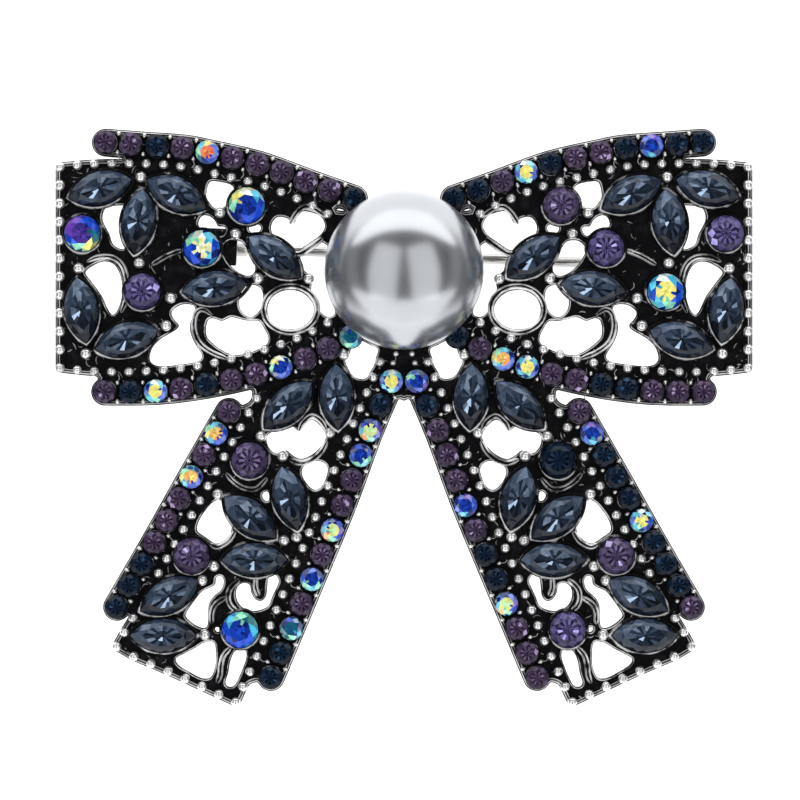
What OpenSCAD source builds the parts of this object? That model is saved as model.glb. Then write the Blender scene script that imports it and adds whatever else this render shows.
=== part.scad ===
// Bow brooch: an openwork cast bow with a grey pearl at its knot, marquise and round
// stones in its loops and tails, and a hinged pin stem behind it. It lies on its back
// with the front up: +X is to the right, +Y to the top of the bow, +Z up.

/* [Bow] */

// width of the bow across both loops
bow_width = 60; // [57:0.5:66]
// height of the bow from the loops' upper edge to the tips of the tails
bow_height = 50; // [48:0.5:55]
// thickness of the openwork sheet
sheet_t = 1.0; // [0.8:0.1:1.6]
// height of rims, scrolls and stone walls above the sheet
relief_h = 0.6; // [0.5:0.05:0.9]
// width of the raised rim along the stone bands
rim_w = 0.18; // [0.14:0.02:0.2]
// width of the wall around each set stone
wall = 0.22; // [0.16:0.02:0.3]
// width of a raised scroll
scroll_w = 0.5; // [0.4:0.05:0.7]
// metal outside the centre line of the edge beads
edge_lip = 0.42; // [0.3:0.02:0.6]

/* [Stones] */

// diameter of the small round stones in the bands
small_d = 2.0; // [1.8:0.05:2.02]
// height of the small round stones
small_h = 1.05; // [0.9:0.05:1.3]
// diameter of the medium round stones
medium_d = 3.1; // [2.8:0.05:3.2]
// height of the medium round stones
medium_h = 1.35; // [1.1:0.05:1.6]
// length of the marquise stones
marquise_l = 5.6; // [5.2:0.05:5.7]
// width of the marquise stones
marquise_w = 2.9; // [2.6:0.05:3.0]
// height of the marquise stones
marquise_h = 1.35; // [1.1:0.05:1.6]
// clearance between a stone and its setting
stone_gap = 0.05; // [0.03:0.01:0.08]
// diameter of the pearl
pearl_d = 13.5; // [12:0.1:14]
// height of the pearl above its flat underside
pearl_h = 10.3; // [9:0.1:11.5]
// least height of the pearl's seat above the sheet
seat_rise = 0.35; // [0.3:0.05:1]
// clearance between the pearl and the small stones beside it
pearl_clear = 0.08; // [0.05:0.01:0.3]
// diameter of the peg that the pearl sits on
peg_d = 1.2; // [0.8:0.1:1.6]
// how far the peg reaches into the pearl
peg_reach = 2.5; // [1.5:0.1:4]

/* [Beads] */

// diameter of the beads in the rows
row_bead_d = 0.84; // [0.6:0.02:0.9]
// diameter of the single beads between the stones
single_bead_d = 0.96; // [0.7:0.02:1.04]
// height of a bead's centre above the sheet
bead_rise = 0.3; // [0.15:0.05:0.35]
// diameter of the small prongs that hold the band stones
prong_d = 0.4; // [0.3:0.02:0.44]
// distance of a prong from the middle of its band
prong_reach = 0.75; // [0.7:0.01:0.82]

/* [Pin] */

// diameter of the pin stem
stem_d = 0.9; // [0.7:0.05:1.1]
// diameter of the stem's thicker root
root_d = 1.4; // [1.2:0.05:1.5]
// length of the stem's thicker root
root_l = 3.0; // [2:0.1:4]
// distance of the stem's centre line behind the sheet
stem_drop = 1.9; // [1.8:0.1:2.6]
// diameter of the stem's eye
eye_d = 2.1; // [1.9:0.1:2.4]
// width of the stem's eye
eye_w = 1.6; // [1.5:0.1:2]
// diameter of the hinge rivet
rivet_d = 0.8; // [0.6:0.05:1]
// running clearance of the hinge
hinge_gap = 0.06; // [0.04:0.01:0.1]
// thickness of each hinge ear
ear_t = 0.7; // [0.5:0.1:1]
// depth of the hinge behind the sheet
hinge_depth = 3.0; // [3:0.1:3.6]
// length of the catch along the stem
catch_l = 2.0; // [1.5:0.1:3]
// width of the catch across the stem
catch_w = 2.6; // [2.4:0.1:3.4]
// width of the slot in the catch
slot_w = 1.0; // [0.9:0.05:1.3]
// length of the stem's point past the catch
point_l = 1.2; // [0.8:0.1:2]
// thickness of the pads under the hinge and the catch
pad_t = 0.4; // [0.3:0.1:0.6]

/* [Hidden] */

$fn = 48;

// Counts in each half of the bow.
top_stones = 11;
low_stones = 11;
outer_stones = 10;
inner_stones = 13;
top_beads = 17;
side_beads = 12;
low_beads = 17;
outer_beads = 13;
hem_beads = 7;
inner_beads = 22;

// Places in one half are shares: the first of half the bow's width, out from the middle,
// and the second of the bow's height, up from its middle. The other half mirrors them.

// centre lines of the rows of small stones
top_stone_row = [[0.85, 0.47], [0.738, 0.465], [0.624, 0.46], [0.547, 0.451], [0.41, 0.432],
    [0.265, 0.4], [0.142, 0.374]];
low_stone_row = [[0.852, 0.044], [0.704, 0.045], [0.558, 0.056], [0.409, 0.076], [0.265, 0.104],
    [0.151, 0.138]];
outer_stone_row = [[0.499, 0.01], [0.613, -0.109], [0.715, -0.218], [0.818, -0.324]];
inner_stone_row = [[0.036, 0.062], [0.1, -0.028], [0.174, -0.149], [0.262, -0.276],
    [0.319, -0.358], [0.379, -0.444]];

// centre lines of the rows of beads
top_bead_row = [[0.979, 0.428], [0.88, 0.433], [0.781, 0.434], [0.681, 0.432], [0.584, 0.423],
    [0.396, 0.395], [0.259, 0.362], [0.217, 0.348]];
low_bead_row = [[0.979, 0.085], [0.882, 0.079], [0.736, 0.079], [0.587, 0.088], [0.442, 0.108],
    [0.302, 0.136], [0.217, 0.162]];
outer_bead_row = [[0.419, 0.033], [0.513, -0.068], [0.63, -0.193], [0.699, -0.266]];
corner_beads = [[0.771, -0.343], [0.796, -0.367], [0.818, -0.391]];
hem_bead_row = [[0.769, -0.408], [0.67, -0.433], [0.573, -0.46], [0.479, -0.486]];
inner_bead_row = [[0.459, -0.46], [0.399, -0.381], [0.328, -0.278], [0.271, -0.199],
    [0.217, -0.118], [0.144, -0.011], [0.068, 0.095]];

// marquise stones: [share out, share up, turn of the long axis in degrees]
marquises = [
    [0.864, 0.391, 16],
    [0.755, 0.334, 82],
    [0.647, 0.381, -26],
    [0.368, 0.274, -38],
    [0.538, 0.221, 7],
    [0.917, 0.183, 98],
    [0.789, 0.133, 17],
    [0.33, 0.021, 44],
    [0.191, 0.035, 92],
    [0.325, -0.138, 104],
    [0.437, -0.171, -39],
    [0.425, -0.243, 0],
    [0.667, -0.304, 28],
    [0.685, -0.372, 0]
];

// medium round stones: [share out, share up]
mediums = [
    [0.915, 0.314],
    [0.447, 0.362],
    [0.575, 0.289],
    [0.744, 0.215],
    [0.439, -0.073],
    [0.604, -0.236],
    [0.466, -0.362]
];

// single beads between the stones: [share out, share up]
single_beads = [
    [0.749, 0.411], [0.754, 0.264], [0.524, 0.35], [0.479, 0.314], [0.415, 0.238],
    [0.271, 0.237], [0.926, 0.255], [0.906, 0.109], [0.664, 0.204], [0.678, 0.157],
    [0.407, -0.032], [0.211, -0.026], [0.345, -0.066], [0.342, -0.21], [0.306, -0.204],
    [0.53, -0.131], [0.541, -0.254], [0.575, -0.278], [0.567, -0.371], [0.171, 0.107]
];

// small beads between the pearl and the point of the knot
knot_beads = [[0.023, 0.109], [0.031, 0.093]];

// openings in one loop, each a closed curve through these points
loop_gaps = [
    [[0.846, 0.36], [0.803, 0.363], [0.792, 0.358], [0.801, 0.338], [0.806, 0.321],
        [0.803, 0.303], [0.795, 0.288], [0.815, 0.29], [0.832, 0.298], [0.84, 0.314],
        [0.852, 0.327], [0.86, 0.338], [0.858, 0.351]],
    [[0.909, 0.25], [0.866, 0.266], [0.832, 0.264], [0.812, 0.249], [0.803, 0.226],
        [0.806, 0.201], [0.818, 0.182], [0.832, 0.175], [0.846, 0.187], [0.86, 0.206],
        [0.877, 0.221], [0.897, 0.237]],
    [[0.553, 0.404], [0.524, 0.403], [0.496, 0.399], [0.484, 0.389], [0.501, 0.375],
        [0.507, 0.362], [0.524, 0.358], [0.541, 0.358], [0.553, 0.367], [0.564, 0.377],
        [0.561, 0.392]],
    [[0.573, 0.346], [0.553, 0.344], [0.538, 0.336], [0.53, 0.327], [0.513, 0.327],
        [0.507, 0.321], [0.519, 0.31], [0.536, 0.315], [0.558, 0.322], [0.578, 0.324],
        [0.587, 0.329], [0.584, 0.339]],
    [[0.444, 0.324], [0.436, 0.329], [0.419, 0.331], [0.407, 0.326], [0.413, 0.317],
        [0.433, 0.315]],
    [[0.362, 0.343], [0.379, 0.329], [0.376, 0.315], [0.365, 0.305], [0.342, 0.3],
        [0.322, 0.291], [0.302, 0.286], [0.262, 0.302], [0.239, 0.312], [0.225, 0.327],
        [0.236, 0.343], [0.259, 0.35], [0.288, 0.353], [0.302, 0.346], [0.311, 0.334],
        [0.322, 0.334], [0.333, 0.341]],
    [[0.499, 0.302], [0.467, 0.302], [0.453, 0.293], [0.439, 0.278], [0.425, 0.261],
        [0.427, 0.247], [0.447, 0.242], [0.473, 0.249], [0.496, 0.261], [0.51, 0.274],
        [0.519, 0.288]],
    [[0.299, 0.271], [0.293, 0.257], [0.276, 0.247], [0.259, 0.238], [0.265, 0.221],
        [0.256, 0.201], [0.239, 0.182], [0.219, 0.172], [0.202, 0.175], [0.222, 0.201],
        [0.234, 0.228], [0.236, 0.256], [0.231, 0.286], [0.245, 0.298], [0.274, 0.29]],
    [[0.447, 0.226], [0.422, 0.226], [0.405, 0.218], [0.402, 0.201], [0.41, 0.184],
        [0.433, 0.172], [0.45, 0.174], [0.467, 0.185], [0.47, 0.201], [0.462, 0.216]],
    [[0.325, 0.218], [0.296, 0.215], [0.271, 0.204], [0.256, 0.187], [0.265, 0.168],
        [0.291, 0.155], [0.325, 0.151], [0.359, 0.155], [0.382, 0.167], [0.39, 0.185],
        [0.379, 0.204], [0.353, 0.215]],
    [[0.561, 0.165], [0.544, 0.17], [0.519, 0.165], [0.493, 0.172], [0.467, 0.168],
        [0.439, 0.165], [0.413, 0.165], [0.399, 0.153], [0.387, 0.138], [0.39, 0.126],
        [0.422, 0.115], [0.453, 0.109], [0.481, 0.107], [0.51, 0.112], [0.544, 0.126],
        [0.564, 0.141]],
    [[0.664, 0.18], [0.644, 0.191], [0.621, 0.194], [0.598, 0.191], [0.595, 0.18],
        [0.607, 0.167], [0.61, 0.15], [0.601, 0.132], [0.584, 0.115], [0.575, 0.103],
        [0.593, 0.095], [0.644, 0.09], [0.684, 0.088], [0.712, 0.09], [0.726, 0.1],
        [0.718, 0.119], [0.695, 0.134], [0.67, 0.143], [0.65, 0.15], [0.641, 0.158],
        [0.655, 0.167]]
];

// openings in one tail and beside the knot
tail_gaps = [
    [[0.39, -0.03], [0.353, -0.021], [0.319, -0.015], [0.302, -0.023], [0.288, -0.013],
        [0.262, -0.004], [0.236, -0.016], [0.222, -0.032], [0.234, -0.047], [0.259, -0.062],
        [0.293, -0.071], [0.319, -0.064], [0.336, -0.056], [0.365, -0.062], [0.387, -0.05]],
    [[0.288, -0.085], [0.268, -0.078], [0.245, -0.074], [0.225, -0.079], [0.217, -0.088],
        [0.222, -0.103], [0.236, -0.119], [0.256, -0.124], [0.276, -0.114], [0.291, -0.098]],
    [[0.405, -0.131], [0.387, -0.126], [0.385, -0.143], [0.399, -0.141]],
    [[0.541, -0.143], [0.516, -0.144], [0.507, -0.163], [0.493, -0.18], [0.493, -0.196],
        [0.51, -0.209], [0.536, -0.216], [0.556, -0.209], [0.575, -0.201], [0.59, -0.194],
        [0.587, -0.18], [0.57, -0.162]],
    [[0.536, -0.273], [0.519, -0.271], [0.513, -0.281], [0.521, -0.295], [0.541, -0.305],
        [0.556, -0.319], [0.558, -0.339], [0.561, -0.358], [0.578, -0.36], [0.601, -0.353],
        [0.618, -0.344], [0.624, -0.338], [0.61, -0.324], [0.593, -0.31], [0.575, -0.297],
        [0.553, -0.291], [0.538, -0.285]],
    [[0.37, -0.268], [0.356, -0.278], [0.365, -0.293], [0.376, -0.307], [0.385, -0.321],
        [0.407, -0.329], [0.439, -0.331], [0.467, -0.322], [0.479, -0.307], [0.476, -0.291],
        [0.459, -0.283], [0.439, -0.286], [0.436, -0.298], [0.425, -0.31], [0.407, -0.314],
        [0.393, -0.305], [0.39, -0.288], [0.385, -0.273]],
    [[0.57, -0.385], [0.541, -0.384], [0.536, -0.406], [0.538, -0.426], [0.55, -0.444],
        [0.57, -0.447], [0.593, -0.442], [0.618, -0.433], [0.641, -0.425], [0.652, -0.413],
        [0.627, -0.404], [0.595, -0.394]],
    [[0.484, -0.401], [0.467, -0.396], [0.45, -0.399], [0.45, -0.413], [0.459, -0.428],
        [0.47, -0.444], [0.484, -0.459], [0.501, -0.461], [0.51, -0.454], [0.501, -0.437],
        [0.496, -0.418]],
    [[0.541, -0.36], [0.527, -0.358], [0.524, -0.365], [0.533, -0.368]],
    [[0.151, 0.117], [0.137, 0.129], [0.12, 0.131], [0.097, 0.124], [0.074, 0.117],
        [0.08, 0.103], [0.085, 0.09], [0.097, 0.078], [0.105, 0.068], [0.125, 0.066],
        [0.145, 0.071], [0.16, 0.085], [0.168, 0.098], [0.157, 0.105]]
];

// raised scrolls beside the openings, each an open curve through these points
scrolls = [
    [[0.903, 0.266], [0.872, 0.274], [0.832, 0.274], [0.803, 0.261], [0.789, 0.235],
        [0.789, 0.204], [0.806, 0.179]],
    [[0.718, 0.261], [0.675, 0.276], [0.632, 0.286]],
    [[0.325, 0.331], [0.305, 0.35], [0.282, 0.36], [0.254, 0.356], [0.225, 0.344]],
    [[0.345, 0.295], [0.305, 0.279], [0.265, 0.291], [0.231, 0.307]],
    [[0.547, 0.175], [0.573, 0.185], [0.593, 0.177], [0.598, 0.153], [0.584, 0.129],
        [0.55, 0.112], [0.501, 0.1]],
    [[0.507, -0.095], [0.484, -0.11], [0.453, -0.121], [0.419, -0.121], [0.39, -0.103]],
    [[0.299, -0.023], [0.288, -0.009], [0.262, 0.003], [0.236, -0.006], [0.222, -0.02]],
    [[0.219, -0.04], [0.236, -0.059], [0.265, -0.073], [0.296, -0.078], [0.328, -0.071]],
    [[0.481, -0.194], [0.499, -0.211], [0.53, -0.221], [0.553, -0.216]],
    [[0.467, -0.276], [0.493, -0.29], [0.501, -0.307], [0.493, -0.322], [0.473, -0.332]],
    [[0.507, -0.307], [0.536, -0.319], [0.547, -0.334], [0.547, -0.353]],
    [[0.422, -0.274], [0.422, -0.291], [0.413, -0.305]],
    [[0.493, -0.392], [0.513, -0.406], [0.521, -0.423], [0.524, -0.44], [0.533, -0.454]]
];

// the ring of scroll around the round opening beside the pearl: centre and half axes
ring_at = [0.323, 0.185];
ring_axes = [0.077, 0.04];

// the pearl's centre, the hinge and the catch, the last two on opposite sides
pearl_at = [0, 0.25];
hinge_at = [-0.547, 0.293];
catch_at = [0.65, 0.263];

// the inner corners of the loop and the tail, under the pearl and the knot
loop_root = [[0.1, 0.34], [0, 0.32], [0, 0.16], [0.1, 0.16]];
tail_root = [[0, 0.13], [0.2, 0.18], [0.42, 0.11]];
knot_root = [[0.034, 0.062], [0, 0.037], [0, 0.18], [0.1, 0.14], [0.068, 0.095]];

// Lengths that follow from the sizes above.
half_w = bow_width / 2;
step = 0.05;
band_half = small_d / 2 + stone_gap + rim_w + step;
pearl_r = pearl_d / 2;
stone_z = sheet_t + stone_gap;
girdle_z = relief_h + 0.05;
girdle_t = 0.1;

function place(s) = [s.x * half_w, s.y * bow_height];
function places(list) = [for (s = list) place(s)];
function reversed(p) = [for (i = [len(p) - 1 : -1 : 0]) p[i]];

function blend(a, b, c, d, t) = 0.5 * (2 * b + (c - a) * t
    + (2 * a - 5 * b + 4 * c - d) * t * t + (3 * b - a - 3 * c + d) * t * t * t);

function open_curve(p, k) = [
    for (i = [0 : len(p) - 2])
        let (a = p[max(i - 1, 0)], d = p[min(i + 2, len(p) - 1)])
        for (j = [0 : k - 1]) blend(a, p[i], p[i + 1], d, j / k),
    p[len(p) - 1]
];

function closed_curve(p, k) = let (n = len(p)) [
    for (i = [0 : n - 1]) for (j = [0 : k - 1])
        blend(p[(i + n - 1) % n], p[i], p[(i + 1) % n], p[(i + 2) % n], j / k)
];

// the length run along a line of points, up to each of them
function lengths(p) = [
    for (i = 0, s = 0; i < len(p); s = s + (i + 1 < len(p) ? norm(p[i + 1] - p[i]) : 0), i = i + 1) s
];

function at_length(p, s, d) =
    let (i = min(len(p) - 2, max(0, len([for (x = s) if (x <= d) x]) - 1)))
    p[i] + (p[i + 1] - p[i]) * (d - s[i]) / max(s[i + 1] - s[i], 1e-6);

// n points evenly spaced along a curve
function spaced(p, n) = let (q = open_curve(p, 8), s = lengths(q), total = s[len(s) - 1])
    [for (i = [0 : n - 1]) at_length(q, s, total * i / (n - 1))];

function side(p, i) = let (a = p[max(i - 1, 0)], b = p[min(i + 1, len(p) - 1)], d = (b - a) / norm(b - a))
    [-d.y, d.x];
function beside(p, d) = [for (i = [0 : len(p) - 1]) p[i] + d * side(p, i)];

// the outline of a marquise: two arcs that meet in points, with n steps on each
function marquise_outline(l, w, n) =
    let (a = l / 2, b = w / 2, r = (a * a + b * b) / (2 * b), h = asin(a / r))
    [for (s = [1, -1]) for (i = [0 : n - 1]) let (t = h - 2 * h * i / n)
        s * [r * sin(t), r * cos(t) - (r - b)]];
function round_outline(d, n) = [for (i = [0 : n - 1]) d / 2 * [cos(360 * i / n), sin(360 * i / n)]];

// the ring of scroll, this far outside its middle line
function ring_outline(grow) = [for (i = [0 : 23]) place(ring_at)
    + [(ring_axes.x * half_w + grow) * cos(15 * i), (ring_axes.y * bow_height + grow) * sin(15 * i)]];

// the middle line of a rim: round the outer end of a band and then beside it
function rim_line(p, way) = let (r = band_half - step - rim_w / 2, n = way * side(p, 0), back = p[0] - p[1],
    from = atan2(back.y, back.x), swing = atan2(n.y, n.x) - from, turn = swing > 180 ? swing - 360 :
    swing < -180 ? swing + 360 : swing)
    concat([for (i = [-2 : 3]) p[0] + r * [cos(from + turn * i / 4), sin(from + turn * i / 4)]],
        beside(p, way * r));

// the places of small stones, row by row, and of beads
stone_rows = [
    spaced(places(top_stone_row), top_stones),
    spaced(places(low_stone_row), low_stones),
    spaced(places(outer_stone_row), outer_stones),
    spaced(places(inner_stone_row), inner_stones)
];
top_bead_places = spaced(places(top_bead_row), top_beads);
low_bead_places = spaced(places(low_bead_row), low_beads);
side_bead_places = spaced([top_bead_places[0], low_bead_places[0]], side_beads);
row_bead_places = concat(top_bead_places, low_bead_places,
    [for (i = [1 : side_beads - 2]) side_bead_places[i]],
    spaced(places(outer_bead_row), outer_beads), places(corner_beads),
    spaced(places(hem_bead_row), hem_beads), spaced(places(inner_bead_row), inner_beads));
prong_places = [for (row = stone_rows) for (i = [0 : len(row) - 2]) for (s = [-1, 1])
    let (m = (row[i] + row[i + 1]) / 2, d = (row[i + 1] - row[i]) / norm(row[i + 1] - row[i]))
    m + s * prong_reach * [-d.y, d.x]];

// The pearl sits on its seat, and higher where it would touch the small stones beside it.
stone_top = stone_z + small_h;
room = min([for (row = stone_rows) for (q = row) norm(q - place(pearl_at))]) - small_d / 2 - pearl_clear;
least_mid = stone_top + sqrt(max(0, pearl_r * pearl_r - room * room));
pearl_mid = max(sheet_t + seat_rise + stone_gap + pearl_h - pearl_r, least_mid);
pearl_bottom = pearl_mid + pearl_r - pearl_h;
seat_z = pearl_bottom - stone_gap;

// Colours of the stones, first in the left half of the front and then in the right: p violet,
// n navy, t blue-violet and a iridescent. The rows start at their outer or upper ends.
row_colours = [
    ["ppnpapppppn", "nnanppnapnn"],
    ["pnapnppappa", "pppnnppaapn"],
    ["papapppnnn", "pannnannnp"],
    ["anaappapapann", "anpppapnnappp"]
];
medium_colours = ["aaatppa", "pppanpt"];
shades = [["p", [0.42, 0.33, 0.45]], ["n", [0.08, 0.12, 0.2]], ["t", [0.35, 0.3, 0.6]],
    ["a", [0.45, 0.7, 0.8]]];
function shade(letter) = [for (s = shades) if (s[0] == letter) s[1]][0];

// the stem's line in the plane of the sheet
hinge_place = place(hinge_at);
catch_place = place(catch_at);
stem_line = catch_place - hinge_place;
stem_turn = atan2(stem_line.y, stem_line.x);
stem_reach = norm(stem_line);
ear_inner = eye_w / 2 + hinge_gap;
ear_outer = ear_inner + ear_t;
ear_r = hinge_depth - stem_drop;
bore_d = rivet_d + 2 * hinge_gap;

// How it lies: on the foot of the hinge, the foot of the catch and the tips of the tails.
tail_foot = place(hem_bead_row[len(hem_bead_row) - 1]).y - edge_lip;
hinge_foot = hinge_place.y - ear_outer;
catch_foot = catch_place.y - catch_w / 2;
tilt = atan(hinge_depth / (hinge_foot - tail_foot));
catch_depth = (catch_foot - tail_foot) * tan(tilt);
lift = -tail_foot * sin(tilt);
top_edge = place(top_stone_row[0]).y + band_half;
middle_y = (top_edge * cos(tilt) + tail_foot * cos(tilt) - sheet_t * sin(tilt)) / 2;

// the brooch as it lies on its back, tilted by the hinge and catch beneath it
module at_rest() {
    translate([0, -middle_y, lift])
        rotate([tilt, 0, 0])
            children();
}

module both_halves() {
    children();
    mirror([1, 0]) children();
}

// a strip of a named width along a line of points, with round ends
module strip(p, w) {
    polygon(concat(beside(p, w / 2), reversed(beside(p, -w / 2))));
    for (q = [p[0], p[len(p) - 1]])
        translate(q) circle(d = w, $fn = 24);
}

// the stone bands of one half, as wide as a small stone with its rims
module bands(w) {
    for (row = [top_stone_row, low_stone_row, outer_stone_row, inner_stone_row])
        strip(open_curve(places(row), 3), w);
}

module sheet_half() {
    offset(r = edge_lip, $fn = 20) {
        polygon(places(concat(open_curve(top_bead_row, 3), loop_root,
            reversed(open_curve(low_bead_row, 3)))));
        polygon(places(concat(open_curve(outer_bead_row, 2), corner_beads,
            open_curve(hem_bead_row, 2), open_curve(inner_bead_row, 3), tail_root)));
        polygon(places(knot_root));
    }
    bands(2 * band_half);
    polygon(places(concat(open_curve(top_stone_row, 3),
        reversed([for (i = [2 : len(top_bead_row) - 1]) top_bead_row[i]]))));
    polygon(places(concat(open_curve(low_stone_row, 3),
        reversed([for (i = [1 : len(low_bead_row) - 1]) low_bead_row[i]]))));
    polygon(places(concat(outer_stone_row, [corner_beads[0]], reversed(outer_bead_row))));
    polygon(places(concat(inner_stone_row, inner_bead_row)));
}

module sheet_outline() {
    both_halves() sheet_half();
    translate(place(pearl_at)) circle(r = pearl_r * 0.83, $fn = 60);
}

// the openings of both halves, cut right through the sheet
module openings() {
    for (s = [-1, 1])
        for (gap = concat(loop_gaps, tail_gaps))
            translate([0, 0, -1])
                linear_extrude(sheet_t + 2)
                    polygon([for (q = places(closed_curve(gap, 2))) [s * q.x, q.y]]);
}

module sheet() {
    difference() {
        linear_extrude(sheet_t) sheet_outline();
        openings();
    }
}

// stands on the sheet and is sunk halfway into it
module raised() {
    translate([0, 0, sheet_t / 2])
        linear_extrude(sheet_t / 2 + relief_h)
            children();
}

// the walls around the marquise and medium round stones, filled: their seats are cut later
module settings() {
    for (s = [-1, 1]) {
        for (m = marquises)
            translate([s * place(m).x, place(m).y, 0])
                rotate(-s * m[2])
                    setting_floor()
                        polygon(marquise_outline(marquise_l + 3 * (stone_gap + wall),
                            marquise_w + 2 * (stone_gap + wall), 7));
        for (m = mediums)
            translate([s * place(m).x, place(m).y, 0])
                setting_floor() circle(d = medium_d + 2 * (stone_gap + wall));
    }
}

module setting_floor() {
    translate([0, 0, step])
        linear_extrude(sheet_t + relief_h - step)
            children();
}

module seats() {
    for (s = [-1, 1]) {
        for (m = marquises)
            translate([s * place(m).x, place(m).y, sheet_t - 0.02])
                rotate(-s * m[2])
                    linear_extrude(2 * relief_h)
                        polygon(marquise_outline(marquise_l + 3 * stone_gap,
                            marquise_w + 2 * stone_gap, 7));
        for (m = mediums)
            translate([s * place(m).x, place(m).y, sheet_t - 0.02])
                cylinder(d = medium_d + 2 * stone_gap, h = 2 * relief_h);
    }
}

module scroll_lines() {
    for (m = [0, 1])
        mirror([m, 0, 0]) {
            for (s = scrolls)
                raised() strip(open_curve(places(s), 3), scroll_w);
            raised()
                difference() {
                    polygon(ring_outline(scroll_w / 2));
                    polygon(ring_outline(-scroll_w / 2));
                }
        }
}

// the rim along the outer side of each stone band, from around its outer end
module band_rims() {
    for (m = [0, 1])
        mirror([m, 0, 0])
            for (r = [
                rim_line(open_curve(places(top_stone_row), 3), -1),
                rim_line(open_curve(places(low_stone_row), 3), 1),
                rim_line(open_curve(places(reversed(outer_stone_row)), 3), 1),
                rim_line(open_curve(places(reversed(inner_stone_row)), 3), -1)
            ])
                raised() polygon(concat(beside(r, rim_w / 2), reversed(beside(r, -rim_w / 2))));
}

module bead(d) {
    sphere(d = d, $fn = 16);
}

module beads() {
    for (s = [-1, 1]) {
        for (p = row_bead_places)
            translate([s * p.x, p.y, sheet_t + bead_rise]) bead(row_bead_d);
        for (p = places(single_beads))
            translate([s * p.x, p.y, sheet_t + bead_rise]) bead(single_bead_d);
        for (p = places(knot_beads))
            translate([s * p.x, p.y, sheet_t + bead_rise / 2]) bead(0.55 * single_bead_d);
        for (p = prong_places)
            translate([s * p.x, p.y, sheet_t / 2])
                cylinder(d = prong_d, h = sheet_t / 2 + relief_h + 0.15, $fn = 16);
    }
}

module pearl_seat() {
    translate(concat(place(pearl_at), 0)) {
        cylinder(r = pearl_r * 0.76, h = seat_z);
        cylinder(d = peg_d, h = seat_z + peg_reach);
    }
}

module on_stem_line() {
    translate(concat(hinge_place, -stem_drop))
        rotate([0, 0, stem_turn])
            children();
}

module hinge_ears() {
    on_stem_line() {
        difference() {
            union() {
                translate([-ear_r, -ear_outer, stem_drop - pad_t])
                    cube([2 * ear_r + 1, 2 * ear_outer, pad_t + sheet_t / 2]);
                for (s = [-1, 1])
                    translate([0, s * (ear_inner + ear_t / 2), 0]) {
                        rotate([90, 0, 0]) cylinder(r = ear_r, h = ear_t, center = true);
                        translate([-ear_r, -ear_t / 2, 0]) cube([2 * ear_r, ear_t, stem_drop]);
                    }
            }
            rotate([90, 0, 0]) cylinder(d = bore_d, h = 2 * ear_outer + 1, center = true);
        }
    }
}

module catch_block() {
    slot_top = stem_d / 2 + hinge_gap;
    on_stem_line()
        translate([stem_reach, 0, 0])
            difference() {
                translate([-catch_l / 2, -catch_w / 2, stem_drop - catch_depth])
                    cube([catch_l, catch_w, catch_depth + sheet_t / 2]);
                translate([-catch_l, -slot_w / 2, -catch_depth])
                    cube([2 * catch_l, slot_w, catch_depth + slot_top]);
            }
}

module bow_frame() {
    color([0.62, 0.62, 0.62])
        at_rest()
            difference() {
                union() {
                    sheet();
                    settings();
                    scroll_lines();
                    band_rims();
                    beads();
                    pearl_seat();
                    hinge_ears();
                    catch_block();
                }
                seats();
            }
}

module pearl() {
    bore_r = peg_d / 2 + stone_gap;
    bore_top = pearl_bottom - pearl_mid + peg_reach;
    color([0.62, 0.65, 0.7])
        at_rest()
            translate(concat(place(pearl_at), pearl_mid))
                difference() {
                    rotate_extrude()
                        intersection() {
                            circle(r = pearl_r, $fn = 96);
                            translate([0, pearl_bottom - pearl_mid]) square([pearl_r, pearl_h]);
                        }
                    translate([0, 0, pearl_bottom - pearl_mid - 1])
                        cylinder(r = bore_r, h = peg_reach + 1 + stone_gap);
                }
}

// a cut stone: its outline at each level of the list [share of its size, height]
module cut_stone(outline, levels) {
    n = len(outline);
    top = len(levels) - 1;
    polyhedron(
        points = [for (l = levels) for (p = outline) [p.x * l[0], p.y * l[0], l[1]]],
        faces = concat(
            [[for (j = [0 : n - 1]) j]],
            [for (i = [0 : top - 1]) for (j = [0 : n - 1])
                [i * n + j, (i + 1) * n + j, (i + 1) * n + (j + 1) % n, i * n + (j + 1) % n]],
            [[for (j = [n - 1 : -1 : 0]) top * n + j]]
        )
    );
}

module small_stone() {
    cut_stone(round_outline(small_d, 8), [[0.35, 0], [1, girdle_z], [0.56, small_h]]);
}

module medium_stone() {
    crown = medium_h - girdle_z - girdle_t;
    cut_stone(round_outline(medium_d, 12), [[0.45, 0], [1, girdle_z], [1, girdle_z + girdle_t],
        [0.82, medium_h - 0.4 * crown], [0.54, medium_h]]);
}

module marquise_stone() {
    crown = marquise_h - girdle_z - girdle_t;
    cut_stone(marquise_outline(marquise_l, marquise_w, 6), [[0.45, 0], [1, girdle_z],
        [1, girdle_z + girdle_t], [0.8, marquise_h - 0.4 * crown], [0.5, marquise_h]]);
}

// the small stones of one colour: s is -1 for the left of the front and 1 for the right
module small_stones(letter) {
    color(shade(letter))
        at_rest()
            for (r = [0 : len(stone_rows) - 1])
                for (i = [0 : len(stone_rows[r]) - 1])
                    for (s = [-1, 1])
                        if (row_colours[r][(s + 1) / 2][i] == letter)
                            translate([s * stone_rows[r][i].x, stone_rows[r][i].y, stone_z])
                                small_stone();
}

module small_stones_violet() {
    small_stones("p");
}

module small_stones_navy() {
    small_stones("n");
}

module small_stones_iridescent() {
    small_stones("a");
}

module round_stone(i, s) {
    color(shade(medium_colours[(s + 1) / 2][i]))
        at_rest()
            translate([s * place(mediums[i]).x, place(mediums[i]).y, stone_z]) medium_stone();
}

module marquise(i, s) {
    color([0.22, 0.26, 0.33])
        at_rest()
            translate([s * place(marquises[i]).x, place(marquises[i]).y, stone_z])
                rotate(-s * marquises[i][2])
                    marquise_stone();
}

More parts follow.
